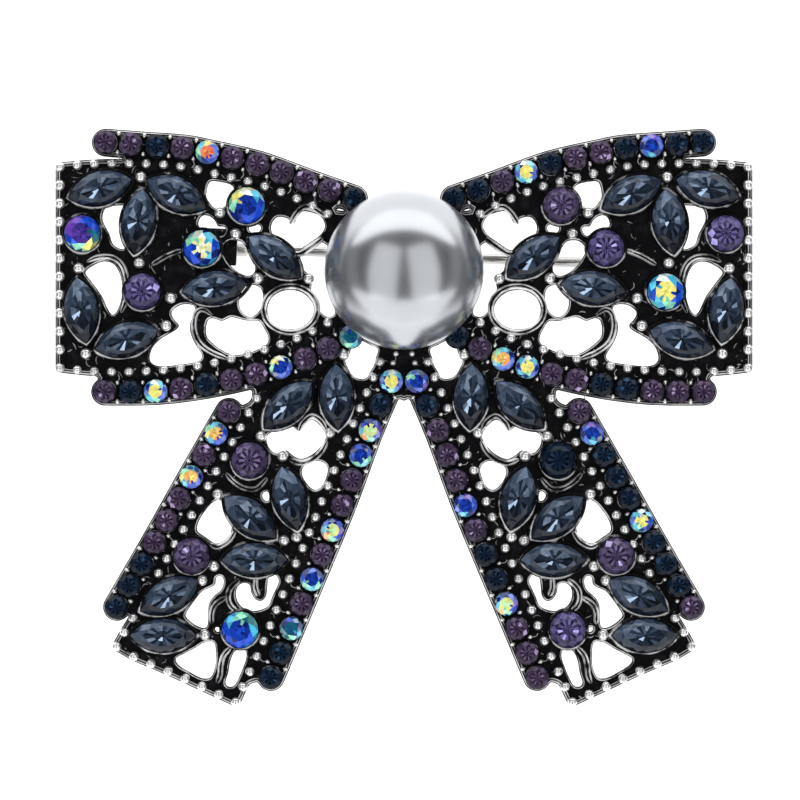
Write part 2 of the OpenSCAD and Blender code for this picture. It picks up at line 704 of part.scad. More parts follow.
module hinge_rivet() {
    color([0.7, 0.7, 0.7])
        at_rest()
            on_stem_line()
                rotate([90, 0, 0]) cylinder(d = rivet_d, h = 2 * ear_outer - 0.1, center = true);
}

module pin_stem() {
    straight_end = stem_reach - catch_l / 2 - 1;
    point_start = stem_reach + catch_l / 2;
    color([0.75, 0.75, 0.76])
        at_rest()
            on_stem_line()
                difference() {
                    union() {
                        rotate([90, 0, 0]) cylinder(d = eye_d, h = eye_w, center = true);
                        rotate([0, 90, 0]) cylinder(d = root_d, h = root_l);
                        rotate([0, 90, 0]) cylinder(d = stem_d, h = straight_end);
                        translate([straight_end, 0, 0])
                            rotate([0, 90, 0])
                                cylinder(d1 = stem_d, d2 = stem_d * 0.7, h = point_start - straight_end);
                        translate([point_start, 0, 0])
                            rotate([0, 90, 0])
                                cylinder(d1 = stem_d * 0.7, d2 = stem_d * 0.25, h = point_l);
                    }
                    rotate([90, 0, 0]) cylinder(d = bore_d, h = 2 * eye_w, center = true);
                }
}

bow_frame();
pearl();
small_stones_violet();
small_stones_navy();
small_stones_iridescent();
for (i = [0 : len(mediums) - 1]) {
    round_stone(i, -1);
    round_stone(i, 1);
}
for (i = [0 : len(marquises) - 1]) {
    marquise(i, -1);
    marquise(i, 1);
}
hinge_rivet();
pin_stem();
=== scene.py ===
import math

import bpy
import numpy as np
from mathutils import Matrix, Quaternion, Vector
from mathutils.geometry import delaunay_2d_cdt


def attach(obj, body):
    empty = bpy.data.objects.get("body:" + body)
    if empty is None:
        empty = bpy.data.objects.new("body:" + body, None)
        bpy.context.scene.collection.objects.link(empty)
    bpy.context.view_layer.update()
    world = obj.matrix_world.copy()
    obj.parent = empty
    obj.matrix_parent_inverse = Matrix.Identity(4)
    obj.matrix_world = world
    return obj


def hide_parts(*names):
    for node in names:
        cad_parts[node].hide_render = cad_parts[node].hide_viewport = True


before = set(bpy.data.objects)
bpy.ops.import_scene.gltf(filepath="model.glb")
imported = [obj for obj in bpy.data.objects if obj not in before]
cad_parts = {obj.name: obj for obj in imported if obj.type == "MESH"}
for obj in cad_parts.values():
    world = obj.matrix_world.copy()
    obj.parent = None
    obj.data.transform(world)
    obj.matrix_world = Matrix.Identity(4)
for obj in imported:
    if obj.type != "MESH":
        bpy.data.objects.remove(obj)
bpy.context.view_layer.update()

# ---------------------------------------------------------------- sizes in millimetres
BOW_W, BOW_H = 60.0, 50.0
# the sheet's thickness, the height of what stands on it, and the widths of its rims, walls and scrolls
SHEET, RELIEF, RIM_W, WALL, SCROLL_W, LIP = 1.0, 0.6, 0.18, 0.22, 0.5, 0.42
SMALL_D, SMALL_H, MEDIUM_D, MEDIUM_H = 2.0, 1.05, 3.1, 1.35
MARQ_L, MARQ_W, MARQ_H = 5.6, 2.9, 1.35
GAP, STEP, GIRDLE_T = 0.05, 0.05, 0.1       # GAP is between a stone or the pearl and its seat
PEARL_D, PEARL_H = 13.5, 10.3
ROW_BEAD, SINGLE_BEAD, BEAD_RISE = 0.84, 0.96, 0.3
PRONG_D, PRONG_REACH = 0.4, 0.75
# the pin, its hinge and its catch
STEM_D, ROOT_D, ROOT_L, STEM_DROP, EYE_D, EYE_W = 0.9, 1.4, 3.0, 1.9, 2.1, 1.6
RIVET_D, HINGE_GAP, EAR_T, HINGE_DEPTH = 0.8, 0.06, 0.7, 3.0
CATCH_L, CATCH_W, SLOT_W, POINT_L, PAD_T = 2.0, 2.6, 1.0, 1.2, 0.4
PEARL_R = PEARL_D / 2
SEAT_Z = SHEET + 0.35
PEARL_MID = SEAT_Z + GAP + PEARL_H - PEARL_R
CUP_R = PEARL_R * 0.76
PEG_BORE_R, PEG_BORE_H = 0.65, 2.5
STONE_Z = SHEET + GAP
WALL_Z = SHEET + RELIEF
GIRDLE_Z = RELIEF + 0.05
BAND_HALF = SMALL_D / 2 + GAP + RIM_W + STEP
BAND_SEEN = BAND_HALF - 0.09
EDGE_CUT, BACK_CUT, BOX_CUT = 0.12, 0.08, 0.08
SUNK, BLACK_ROOT = 0.3, 0.25                # the fittings' reach into the sheet, and how far their painted shade, black, reaches next to it
EDGE_STEP, INNER_STEP, DOT_STEP = 0.14, 0.16, 0.42      # between the points of the sheet's mesh
LUMP = 0.05                                 # how much the sheet's front rises and falls
MARKS = 700
FLOOR_HALF = 3.0                            # in metres, as the places of the lights are

# ---------------------------------------------------------------- places, as shares of one half
TOP_STONES = [[0.85, 0.47], [0.738, 0.465], [0.624, 0.46], [0.547, 0.451], [0.41, 0.432],
              [0.265, 0.4], [0.142, 0.374]]
LOW_STONES = [[0.852, 0.044], [0.704, 0.045], [0.558, 0.056], [0.409, 0.076], [0.265, 0.104],
              [0.151, 0.138]]
OUTER_STONES = [[0.499, 0.01], [0.613, -0.109], [0.715, -0.218], [0.818, -0.324]]
INNER_STONES = [[0.036, 0.062], [0.1, -0.028], [0.174, -0.149], [0.262, -0.276],
                [0.319, -0.358], [0.379, -0.444]]
TOP_BEADS = [[0.979, 0.428], [0.88, 0.433], [0.781, 0.434], [0.681, 0.432], [0.584, 0.423],
             [0.396, 0.395], [0.259, 0.362], [0.217, 0.348]]
LOW_BEADS = [[0.979, 0.085], [0.882, 0.079], [0.736, 0.079], [0.587, 0.088], [0.442, 0.108],
             [0.302, 0.136], [0.217, 0.162]]
OUTER_BEADS = [[0.419, 0.033], [0.513, -0.068], [0.63, -0.193], [0.699, -0.266]]
CORNER_BEADS = [[0.771, -0.343], [0.796, -0.367], [0.818, -0.391]]
HEM_BEADS = [[0.769, -0.408], [0.67, -0.433], [0.573, -0.46], [0.479, -0.486]]
INNER_BEADS = [[0.459, -0.46], [0.399, -0.381], [0.328, -0.278], [0.271, -0.199],
               [0.217, -0.118], [0.144, -0.011], [0.068, 0.095]]
MARQUISES = [[0.864, 0.391, 16], [0.755, 0.334, 82], [0.647, 0.381, -26], [0.368, 0.274, -38],
             [0.538, 0.221, 7], [0.917, 0.183, 98], [0.789, 0.133, 17], [0.33, 0.021, 44],
             [0.191, 0.035, 92], [0.325, -0.138, 104], [0.437, -0.171, -39], [0.425, -0.243, 0],
             [0.667, -0.304, 28], [0.685, -0.372, 0]]
MEDIUMS = [[0.915, 0.314], [0.447, 0.362], [0.575, 0.289], [0.744, 0.215], [0.439, -0.073],
           [0.604, -0.236], [0.466, -0.362]]
SINGLES = [[0.749, 0.411], [0.754, 0.264], [0.524, 0.35], [0.479, 0.314], [0.415, 0.238],
           [0.271, 0.237], [0.926, 0.255], [0.906, 0.109], [0.664, 0.204], [0.678, 0.157],
           [0.407, -0.032], [0.211, -0.026], [0.345, -0.066], [0.342, -0.21], [0.306, -0.204],
           [0.53, -0.131], [0.541, -0.254], [0.575, -0.278], [0.567, -0.371], [0.171, 0.107]]
KNOT_BEADS = [[0.023, 0.109], [0.031, 0.093]]
RING_AT, RING_AXES = [0.323, 0.185], [0.077, 0.04]
PEARL_AT, HINGE_AT, CATCH_AT = [0, 0.25], [-0.547, 0.293], [0.65, 0.263]
LOOP_ROOT = [[0.1, 0.34], [0, 0.32], [0, 0.16], [0.1, 0.16]]
TAIL_ROOT = [[0, 0.13], [0.2, 0.18], [0.42, 0.11]]
KNOT_ROOT = [[0.034, 0.062], [0, 0.037], [0, 0.18], [0.1, 0.14], [0.068, 0.095]]
GAPS = [
    [[0.846, 0.36], [0.803, 0.363], [0.792, 0.358], [0.801, 0.338], [0.806, 0.321],
     [0.803, 0.303], [0.795, 0.288], [0.815, 0.29], [0.832, 0.298], [0.84, 0.314],
     [0.852, 0.327], [0.86, 0.338], [0.858, 0.351]],
    [[0.909, 0.25], [0.866, 0.266], [0.832, 0.264], [0.812, 0.249], [0.803, 0.226],
     [0.806, 0.201], [0.818, 0.182], [0.832, 0.175], [0.846, 0.187], [0.86, 0.206],
     [0.877, 0.221], [0.897, 0.237]],
    [[0.553, 0.404], [0.524, 0.403], [0.496, 0.399], [0.484, 0.389], [0.501, 0.375],
     [0.507, 0.362], [0.524, 0.358], [0.541, 0.358], [0.553, 0.367], [0.564, 0.377],
     [0.561, 0.392]],
    [[0.573, 0.346], [0.553, 0.344], [0.538, 0.336], [0.53, 0.327], [0.513, 0.327],
     [0.507, 0.321], [0.519, 0.31], [0.536, 0.315], [0.558, 0.322], [0.578, 0.324],
     [0.587, 0.329], [0.584, 0.339]],
    [[0.444, 0.324], [0.436, 0.329], [0.419, 0.331], [0.407, 0.326], [0.413, 0.317],
     [0.433, 0.315]],
    [[0.362, 0.343], [0.379, 0.329], [0.376, 0.315], [0.365, 0.305], [0.342, 0.3],
     [0.322, 0.291], [0.302, 0.286], [0.262, 0.302], [0.239, 0.312], [0.225, 0.327],
     [0.236, 0.343], [0.259, 0.35], [0.288, 0.353], [0.302, 0.346], [0.311, 0.334],
     [0.322, 0.334], [0.333, 0.341]],
    [[0.499, 0.302], [0.467, 0.302], [0.453, 0.293], [0.439, 0.278], [0.425, 0.261],
     [0.427, 0.247], [0.447, 0.242], [0.473, 0.249], [0.496, 0.261], [0.51, 0.274],
     [0.519, 0.288]],
    [[0.299, 0.271], [0.293, 0.257], [0.276, 0.247], [0.259, 0.238], [0.265, 0.221],
     [0.256, 0.201], [0.239, 0.182], [0.219, 0.172], [0.196, 0.178], [0.208, 0.201],
     [0.215, 0.228], [0.217, 0.256], [0.213, 0.286], [0.235, 0.3], [0.274, 0.29]],
    [[0.447, 0.226], [0.422, 0.226], [0.405, 0.218], [0.402, 0.201], [0.41, 0.184],
     [0.433, 0.172], [0.45, 0.174], [0.467, 0.185], [0.47, 0.201], [0.462, 0.216]],
    [[0.325, 0.218], [0.296, 0.215], [0.271, 0.204], [0.256, 0.187], [0.265, 0.168],
     [0.291, 0.155], [0.325, 0.151], [0.359, 0.155], [0.382, 0.167], [0.39, 0.185],
     [0.379, 0.204], [0.353, 0.215]],
    [[0.561, 0.165], [0.544, 0.17], [0.519, 0.165], [0.493, 0.172], [0.467, 0.168],
     [0.439, 0.165], [0.413, 0.165], [0.399, 0.153], [0.387, 0.138], [0.39, 0.126],
     [0.422, 0.115], [0.453, 0.109], [0.481, 0.107], [0.51, 0.112], [0.544, 0.126],
     [0.564, 0.141]],
    [[0.664, 0.18], [0.644, 0.191], [0.621, 0.194], [0.598, 0.191], [0.595, 0.18],
     [0.607, 0.167], [0.61, 0.15], [0.601, 0.132], [0.584, 0.115], [0.575, 0.103],
     [0.593, 0.095], [0.644, 0.09], [0.684, 0.088], [0.712, 0.09], [0.726, 0.1],
     [0.718, 0.119], [0.695, 0.134], [0.67, 0.143], [0.65, 0.15], [0.641, 0.158],
     [0.655, 0.167]],
    [[0.39, -0.03], [0.353, -0.021], [0.319, -0.015], [0.302, -0.023], [0.288, -0.013],
     [0.262, -0.004], [0.236, -0.016], [0.222, -0.032], [0.234, -0.047], [0.259, -0.062],
     [0.293, -0.071], [0.319, -0.064], [0.336, -0.056], [0.365, -0.062], [0.387, -0.05]],
    [[0.288, -0.085], [0.268, -0.078], [0.245, -0.074], [0.225, -0.079], [0.217, -0.088],
     [0.222, -0.103], [0.236, -0.119], [0.256, -0.124], [0.276, -0.114], [0.291, -0.098]],
    [[0.405, -0.131], [0.387, -0.126], [0.385, -0.143], [0.399, -0.141]],
    [[0.541, -0.143], [0.516, -0.144], [0.507, -0.163], [0.493, -0.18], [0.493, -0.196],
     [0.51, -0.209], [0.536, -0.216], [0.556, -0.209], [0.575, -0.201], [0.59, -0.194],
     [0.587, -0.18], [0.57, -0.162]],
    [[0.536, -0.273], [0.519, -0.271], [0.513, -0.281], [0.521, -0.295], [0.541, -0.305],
     [0.556, -0.319], [0.558, -0.339], [0.561, -0.358], [0.578, -0.36], [0.601, -0.353],
     [0.618, -0.344], [0.624, -0.338], [0.61, -0.324], [0.593, -0.31], [0.575, -0.297],
     [0.553, -0.291], [0.538, -0.285]],
    [[0.37, -0.268], [0.356, -0.278], [0.365, -0.293], [0.376, -0.307], [0.385, -0.321],
     [0.407, -0.329], [0.439, -0.331], [0.467, -0.322], [0.479, -0.307], [0.476, -0.291],
     [0.459, -0.283], [0.439, -0.286], [0.436, -0.298], [0.425, -0.31], [0.407, -0.314],
     [0.393, -0.305], [0.39, -0.288], [0.385, -0.273]],
    [[0.57, -0.385], [0.541, -0.384], [0.536, -0.406], [0.538, -0.426], [0.55, -0.444],
     [0.57, -0.447], [0.593, -0.442], [0.618, -0.433], [0.641, -0.425], [0.652, -0.413],
     [0.627, -0.404], [0.595, -0.394]],
    [[0.484, -0.401], [0.467, -0.396], [0.45, -0.399], [0.45, -0.413], [0.459, -0.428],
     [0.47, -0.444], [0.484, -0.459], [0.501, -0.461], [0.51, -0.454], [0.501, -0.437],
     [0.496, -0.418]],
    [[0.541, -0.36], [0.527, -0.358], [0.524, -0.365], [0.533, -0.368]],
    [[0.151, 0.117], [0.137, 0.129], [0.12, 0.131], [0.097, 0.124], [0.074, 0.117],
     [0.08, 0.103], [0.085, 0.09], [0.097, 0.078], [0.105, 0.068], [0.125, 0.066],
     [0.145, 0.071], [0.16, 0.085], [0.168, 0.098], [0.157, 0.105]],
]
SCROLLS = [
    [[0.903, 0.266], [0.872, 0.274], [0.832, 0.274], [0.803, 0.261], [0.789, 0.235],
     [0.789, 0.204], [0.806, 0.179]],
    [[0.718, 0.261], [0.675, 0.276], [0.632, 0.286]],
    [[0.325, 0.331], [0.305, 0.35], [0.282, 0.36], [0.254, 0.356], [0.225, 0.344]],
    [[0.345, 0.295], [0.305, 0.279], [0.265, 0.291], [0.231, 0.307]],
    [[0.547, 0.175], [0.573, 0.185], [0.593, 0.177], [0.598, 0.153], [0.584, 0.129],
     [0.55, 0.112], [0.501, 0.1]],
    [[0.507, -0.095], [0.484, -0.11], [0.453, -0.121], [0.419, -0.121], [0.39, -0.103]],
    [[0.299, -0.023], [0.288, -0.009], [0.262, 0.003], [0.236, -0.006], [0.222, -0.02]],
    [[0.219, -0.04], [0.236, -0.059], [0.265, -0.073], [0.296, -0.078], [0.328, -0.071]],
    [[0.481, -0.194], [0.499, -0.211], [0.53, -0.221], [0.553, -0.216]],
    [[0.467, -0.276], [0.493, -0.29], [0.501, -0.307], [0.493, -0.322], [0.473, -0.332]],
    [[0.507, -0.307], [0.536, -0.319], [0.547, -0.334], [0.547, -0.353]],
    [[0.422, -0.274], [0.422, -0.291], [0.413, -0.305]],
    [[0.493, -0.392], [0.513, -0.406], [0.521, -0.423], [0.524, -0.44], [0.533, -0.454]],
]
# p violet, n navy, t blue violet, a iridescent; from the outer or upper end; the left half, then the right
ROW_COLOURS = [["ppnpapppppn", "nnanppnapnn"], ["pnapnppappa", "pppnnppaapn"],
               ["papapppnnn", "pannnannnp"], ["anaappapapann", "anpppapnnappp"]]
MEDIUM_COLOURS = ["aaatppa", "pppanpt"]


# ---------------------------------------------------------------- plane curves
def place(p):
    """From shares of one half to millimetres."""
    return np.array([p[0] * BOW_W / 2, p[1] * BOW_H])


def places(points):
    return np.array([place(p) for p in points])


def lay(p, s):
    """Points of one half put in the half s, -1 for the left of the front."""
    return np.array(p, float).reshape(-1, 2) * [s, 1]


def unit(p):
    return p / np.maximum(np.linalg.norm(p, axis=1, keepdims=True), 1e-9)


def blend(a, b, c, d, t):
    """A point between b and c of a smooth curve through all four."""
    square, cube = 2 * a - 5 * b + 4 * c - d, 3 * b - a - 3 * c + d
    return 0.5 * (2 * b + (c - a) * t + square * t * t + cube * t ** 3)


def curve(p, k, closed=False):
    """A smooth curve through the points, with k steps from each to the next, as a list."""
    p = np.array(p)
    ends = "wrap" if closed else "edge"
    around = np.pad(p, ((1, 2), (0, 0)), ends)
    spans = [around[i:i + 4] for i in range(len(p) if closed else len(p) - 1)]
    return [blend(*four, j / k) for four in spans for j in range(k)] + ([] if closed else [p[-1]])


def lengths(line):
    """How far along a line each of its points lies."""
    return np.concatenate([[0], np.cumsum(np.linalg.norm(np.diff(line, axis=0), axis=1))])


def even(line, n):
    """n points evenly spaced along a line of points."""
    s = lengths(line)
    t = np.linspace(0, s[-1], n)
    return np.stack([np.interp(t, s, line[:, i]) for i in (0, 1)], axis=1)


def spaced(shares, n):
    return even(np.array(curve(places(shares), 8)), n)


def thinned(loop, apart):
    """A closed line with its points about this far apart."""
    line = np.vstack([loop, loop[:1]])
    return even(line, max(8, int(lengths(line)[-1] / apart)) + 1)[:-1]


def smoothed(loop, times):
    for _ in range(times):
        loop = (np.roll(loop, 1, axis=0) + 2 * loop + np.roll(loop, -1, axis=0)) / 4
    return loop


def side_of(p, closed=False):
    """The direction to the left of a line at each of its points."""
    d = unit(np.roll(p, -1, axis=0) - np.roll(p, 1, axis=0) if closed else np.gradient(p, axis=0))
    return np.stack([-d[:, 1], d[:, 0]], axis=1)


def circle(n):
    t = np.arange(n) * 2 * math.pi / n
    return np.stack([np.cos(t), np.sin(t)], axis=1)


def round_outline(diameter, n):
    return diameter / 2 * circle(n)


def marquise_outline(length, width, n):
    """Two arcs of n steps each that meet in points."""
    a, b = length / 2, width / 2
    r = (a * a + b * b) / (2 * b)
    h = math.asin(a / r)
    return np.array([[s * r * math.sin(h - 2 * h * i / n), s * (r * math.cos(h - 2 * h * i / n) - (r - b))]
                     for s in (1, -1) for i in range(n)])


STONE_ROWS = [spaced(TOP_STONES, 11), spaced(LOW_STONES, 11), spaced(OUTER_STONES, 10),
              spaced(INNER_STONES, 13)]
top_beads, low_beads = spaced(TOP_BEADS, 17), spaced(LOW_BEADS, 17)
BEAD_ROWS = {"top": top_beads, "low": low_beads,
             "side": even(np.array([top_beads[0], low_beads[0]]), 12)[1:-1],
             "outer": spaced(OUTER_BEADS, 13), "corner": places(CORNER_BEADS),
             "hem": spaced(HEM_BEADS, 7), "inner": spaced(INNER_BEADS, 22)}

# ---------------------------------------------------------------- how it lies
hinge, catch = place(HINGE_AT), place(CATCH_AT)
TAIL_FOOT = place(HEM_BEADS[-1])[1] - LIP
STEM_TURN = math.atan2(catch[1] - hinge[1], catch[0] - hinge[0])
STEM_REACH = float(np.linalg.norm(catch - hinge))
EAR_IN = EYE_W / 2 + HINGE_GAP
EAR_OUT = EAR_IN + EAR_T
EAR_R = HINGE_DEPTH - STEM_DROP
TILT = math.atan(HINGE_DEPTH / (hinge[1] - EAR_OUT - TAIL_FOOT))
CATCH_DEPTH = (catch[1] - CATCH_W / 2 - TAIL_FOOT) * math.tan(TILT)
LIFT = -TAIL_FOOT * math.sin(TILT)
top_edge = place(TOP_STONES[0])[1] + BAND_HALF
MIDDLE_Y = (top_edge * math.cos(TILT) + TAIL_FOOT * math.cos(TILT) - SHEET * math.sin(TILT)) / 2


def at_rest(p):
    """From the flat bow's frame in millimetres to the model's frame in metres."""
    x, y, z = np.asarray(p, float).reshape(-1, 3).T
    c, s = math.cos(TILT), math.sin(TILT)
    return np.stack([x, y * c - z * s - MIDDLE_Y, y * s + z * c + LIFT], axis=1) / 1000


def on_stem(p):
    """From the stem's frame to the flat bow's frame."""
    x, y, z = np.asarray(p, float).reshape(-1, 3).T
    c, s = math.cos(STEM_TURN), math.sin(STEM_TURN)
    return np.stack([x * c - y * s + hinge[0], x * s + y * c + hinge[1], z - STEM_DROP], axis=1)


# ---------------------------------------------------------------- mesh building
def show(obj):
    bpy.context.scene.collection.objects.link(obj)
    return obj


class Shape:
    """Collects vertices and faces, with a brightness for each vertex or a tint for each face."""

    def __init__(self):
        self.v, self.f, self.shine, self.tint, self.count = [], [], [], [], 0

    def add(self, v, f, shine=1.0, tint=()):
        self.v.append(np.asarray(v, float))
        self.shine.append(np.broadcast_to(np.asarray(shine, float), (len(v),)))
        self.f += [tuple(int(i) + self.count for i in face) for face in f]
        self.tint += list(tint)
        self.count += len(v)

    def make(self, name, material, smooth=40.0, body="brooch", replaces=(), slot="silver"):
        mesh = bpy.data.meshes.new(name)
        mesh.from_pydata(at_rest(np.concatenate(self.v)).tolist(), [], self.f)
        mesh.validate()
        if self.tint:
            layer = mesh.color_attributes.new("tint", "FLOAT_COLOR", "CORNER")
            rgba = [[*tint, 1.0] for tint in self.tint]
            layer.data.foreach_set("color", np.repeat(rgba, [len(f) for f in self.f], axis=0).ravel())
        else:
            layer = mesh.attributes.new("shine", "FLOAT", "POINT")
            layer.data.foreach_set("value", np.concatenate(self.shine))
        if smooth:
            mesh.shade_smooth()
            mesh.set_sharp_from_angle(angle=math.radians(smooth))
        mesh.materials.append(material)
        obj = show(bpy.data.objects.new(name, mesh))
        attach(obj, body)
        if replaces:
            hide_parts(*replaces)


def grid_faces(rows, cols, closed_rows=False):
    """The faces between rings of points, each ring closed."""
    out = []
    for i in range(rows if closed_rows else rows - 1):
        for j in range(cols):
            a, d, k = i * cols, (i + 1) % rows * cols, (j + 1) % cols
            out.append((a + j, a + k, d + k, d + j))
    return out


def reversed_faces(f):
    return [tuple(reversed(x)) for x in f]


def sweep(shape, path, profile, z=SHEET, closed=False, taper=None, flip=True):
    """Runs a profile of (across, up, shine) along a line in the sheet's plane."""
    across, up, shine = np.array(profile, float).T
    n, m = len(path), len(across)
    k = np.ones(n) if taper is None else taper
    v = np.empty((n, m, 3))
    v[:, :, :2] = path[:, None, :] + side_of(path, closed)[:, None, :] * np.outer(k, across)[:, :, None]
    v[:, :, 2] = z + np.outer(np.sqrt(k), up)
    f = grid_faces(n, m, closed_rows=closed)
    if not closed:
        f += [tuple(range(m - 1, -1, -1)), tuple((n - 1) * m + j for j in range(m))]
    shape.add(v.reshape(-1, 3), reversed_faces(f) if flip else f, np.tile(shine, n))


def lathe(profile, turns):
    """A closed body turned about Z from points (radius, height) that start and end on the axis."""
    (_, low), *middle, (_, high) = profile
    v = [[0, 0, low]] + [[r * x, r * y, h] for r, h in middle for x, y in circle(turns)] + [[0, 0, high]]
    last = 1 + (len(middle) - 1) * turns
    f = [(0, 1 + (j + 1) % turns, 1 + j) for j in range(turns)]
    f += [tuple(i + 1 for i in face) for face in grid_faces(len(middle), turns)]
    f += [(last + j, last + (j + 1) % turns, len(v) - 1) for j in range(turns)]
    return np.array(v), f


def along_y(profile, turns):
    v, f = lathe(profile, turns)
    return np.stack([v[:, 0], v[:, 2], -v[:, 1]], axis=1), f


def along_x(profile, turns):
    v, f = lathe(profile, turns)
    return np.stack([v[:, 2], v[:, 1], -v[:, 0]], axis=1), f


# ---------------------------------------------------------------- the sheet's outline as distances on a grid
CELL = 0.06
GX, GY = np.arange(-1.2, 31.2, CELL), np.arange(-26.4, 26.4, CELL)


def part_round(p, grow):
    """The part of the grid round these points, and its coordinates."""
    (x0, y0), (x1, y1) = p.min(axis=0) - (grow + 1.0), p.max(axis=0) + (grow + 1.0)
    i0, i1 = np.searchsorted(GX, [x0, x1])
    j0, j1 = np.searchsorted(GY, [y0, y1])
    X, Y = np.meshgrid(GX[i0:i1], GY[j0:j1])
    return (slice(j0, j1), slice(i0, i1)), X, Y


def to_lines(p, closed, X, Y):
    """Distance to a line of points, below 0 inside a closed one."""
    start, end = (p, np.roll(p, -1, axis=0)) if closed else (p[:-1], p[1:])
    best = np.full(X.shape, 1e9)
    inside = np.zeros(X.shape, bool)
    for (ax, ay), (bx, by) in zip(start, end):
        dx, dy = bx - ax, by - ay
        t = np.clip(((X - ax) * dx + (Y - ay) * dy) / max(dx * dx + dy * dy, 1e-12), 0, 1)
        best = np.minimum(best, (X - ax - t * dx) ** 2 + (Y - ay - t * dy) ** 2)
        if closed and ay != by:
            cross = (ay > Y) != (by > Y)
            inside ^= cross & (X < dx * (Y - ay) / (by - ay) + ax)
    return np.where(inside, -np.sqrt(best), np.sqrt(best))


def half_field():
    """Distance to the edge of one half of the sheet, below 0 in the metal: with and without openings."""
    whole = np.full((len(GY), len(GX)), 9.0)

    def join(p, grow, closed=True):
        w, X, Y = part_round(p, grow)
        whole[w] = np.minimum(whole[w], to_lines(p, closed, X, Y) - grow)

    join(places(curve(TOP_BEADS, 3) + LOOP_ROOT + curve(LOW_BEADS, 3)[::-1]), LIP)
    join(places(curve(OUTER_BEADS, 2) + CORNER_BEADS + curve(HEM_BEADS, 2) + curve(INNER_BEADS, 3)
                + TAIL_ROOT), LIP)
    join(places(KNOT_ROOT), LIP)
    for row in (TOP_STONES, LOW_STONES, OUTER_STONES, INNER_STONES):
        join(np.array(curve(places(row), 3)), BAND_SEEN, closed=False)
    # the strips between the rows of stones and the rows of beads
    for strip in (curve(TOP_STONES, 3) + TOP_BEADS[:1:-1], curve(LOW_STONES, 3) + LOW_BEADS[:0:-1],
                  OUTER_STONES + CORNER_BEADS[:1] + OUTER_BEADS[::-1], INNER_STONES + INNER_BEADS):
        join(places(strip), 0)
    X, Y = np.meshgrid(GX, GY)
    x, y = place(PEARL_AT)
    whole[:] = np.minimum(whole, np.hypot(X - x, Y - y) - PEARL_R * 0.83)
    cut = whole.copy()
    for gap in GAPS:
        p = places(curve(gap, 4, closed=True))
        w, X, Y = part_round(p, 0)
        cut[w] = np.maximum(cut[w], -to_lines(p, True, X, Y))
    return cut, whole


axis_column = int(round((0 - GX[0]) / CELL))
FIELD, WHOLE = (np.concatenate([half[:, :axis_column:-1], half[:, axis_column:]], axis=1)
                for half in half_field())
FX = np.concatenate([-GX[:axis_column:-1], GX[axis_column:]])
FX = FX - FX[len(GX) - 1 - axis_column]


def field_at(p, F=FIELD):
    """The field between its grid points."""
    i = np.clip((p[:, 1] - GY[0]) / CELL, 0, len(GY) - 1.001)
    j = np.clip((p[:, 0] - FX[0]) / CELL, 0, len(FX) - 1.001)
    i0, j0 = i.astype(int), j.astype(int)
    a, b = i - i0, j - j0
    return ((1 - a) * (1 - b) * F[i0, j0] + (1 - a) * b * F[i0, j0 + 1]
            + a * (1 - b) * F[i0 + 1, j0] + a * b * F[i0 + 1, j0 + 1])


def level_loops(level):
    """Closed lines where the distance field has this level."""
    F = FIELD - level
    neg = F < 0
    cut, follow, loops = {}, {}, []

    def point(a, b):
        key = (a, b) if a < b else (b, a)
        if key not in cut:
            (i, j), (k, m) = key
            t = F[i, j] / (F[i, j] - F[k, m])
            cut[key] = (FX[j] + t * (FX[m] - FX[j]), GY[i] + t * (GY[k] - GY[i]))
        return key

    here = neg[:-1, :-1]
    for i, j in zip(*np.nonzero((here != neg[1:, :-1]) | (here != neg[:-1, 1:]) | (here != neg[1:, 1:]))):
        ring = [(i, j), (i, j + 1), (i + 1, j + 1), (i + 1, j)]
        crossings = [(point(a, b), neg[a]) for a, b in zip(ring, ring[1:] + ring[:1]) if neg[a] != neg[b]]
        if len(crossings) == 4 and not crossings[0][1]:
            crossings = crossings[1:] + crossings[:1]
        for (p, leaving), (q, _) in zip(crossings[::2], crossings[1::2]):
            if leaving:
                follow[p] = q
            else:
                follow[q] = p
    while follow:
        at, loop = next(iter(follow)), []
        while at in follow:
            loop.append(cut[at])
            at = follow.pop(at)
        if len(loop) > 8:
            loops.append(np.array(loop))
    return loops


# ---------------------------------------------------------------- the sheet
rng = np.random.default_rng(7)


def sheet_side(levels, dots, dot_heights):
    """A triangulated face of the sheet. levels are (distance, height) from the edge inwards."""
    points, edges, heights, rings = [], [], [], []
    for distance, height in levels:
        for loop in level_loops(distance):
            loop = thinned(loop, EDGE_STEP if distance == 0 else INNER_STEP)
            start, n = len(points), len(loop)
            points += loop.tolist()
            heights += [height] * n
            edges += [(start + i, start + (i + 1) % n) for i in range(n)]
            if distance == 0:
                rings.append((start, n))
    points += dots.tolist()
    heights += dot_heights.tolist()
    v, _, f, source, _, _ = delaunay_2d_cdt([Vector(p) for p in points], edges, [], 0, 1e-6, True)
    source = [s[0] if s else -1 for s in source]
    v = np.array([[p.x, p.y, heights[s] if s >= 0 else levels[0][1]] for p, s in zip(v, source)])
    tri = np.array([t for t in f if len(t) == 3])
    tri = tri[field_at(v[tri].mean(axis=1)) < -0.002]
    return v, tri, rings, {s: i for i, s in enumerate(source) if s >= 0}


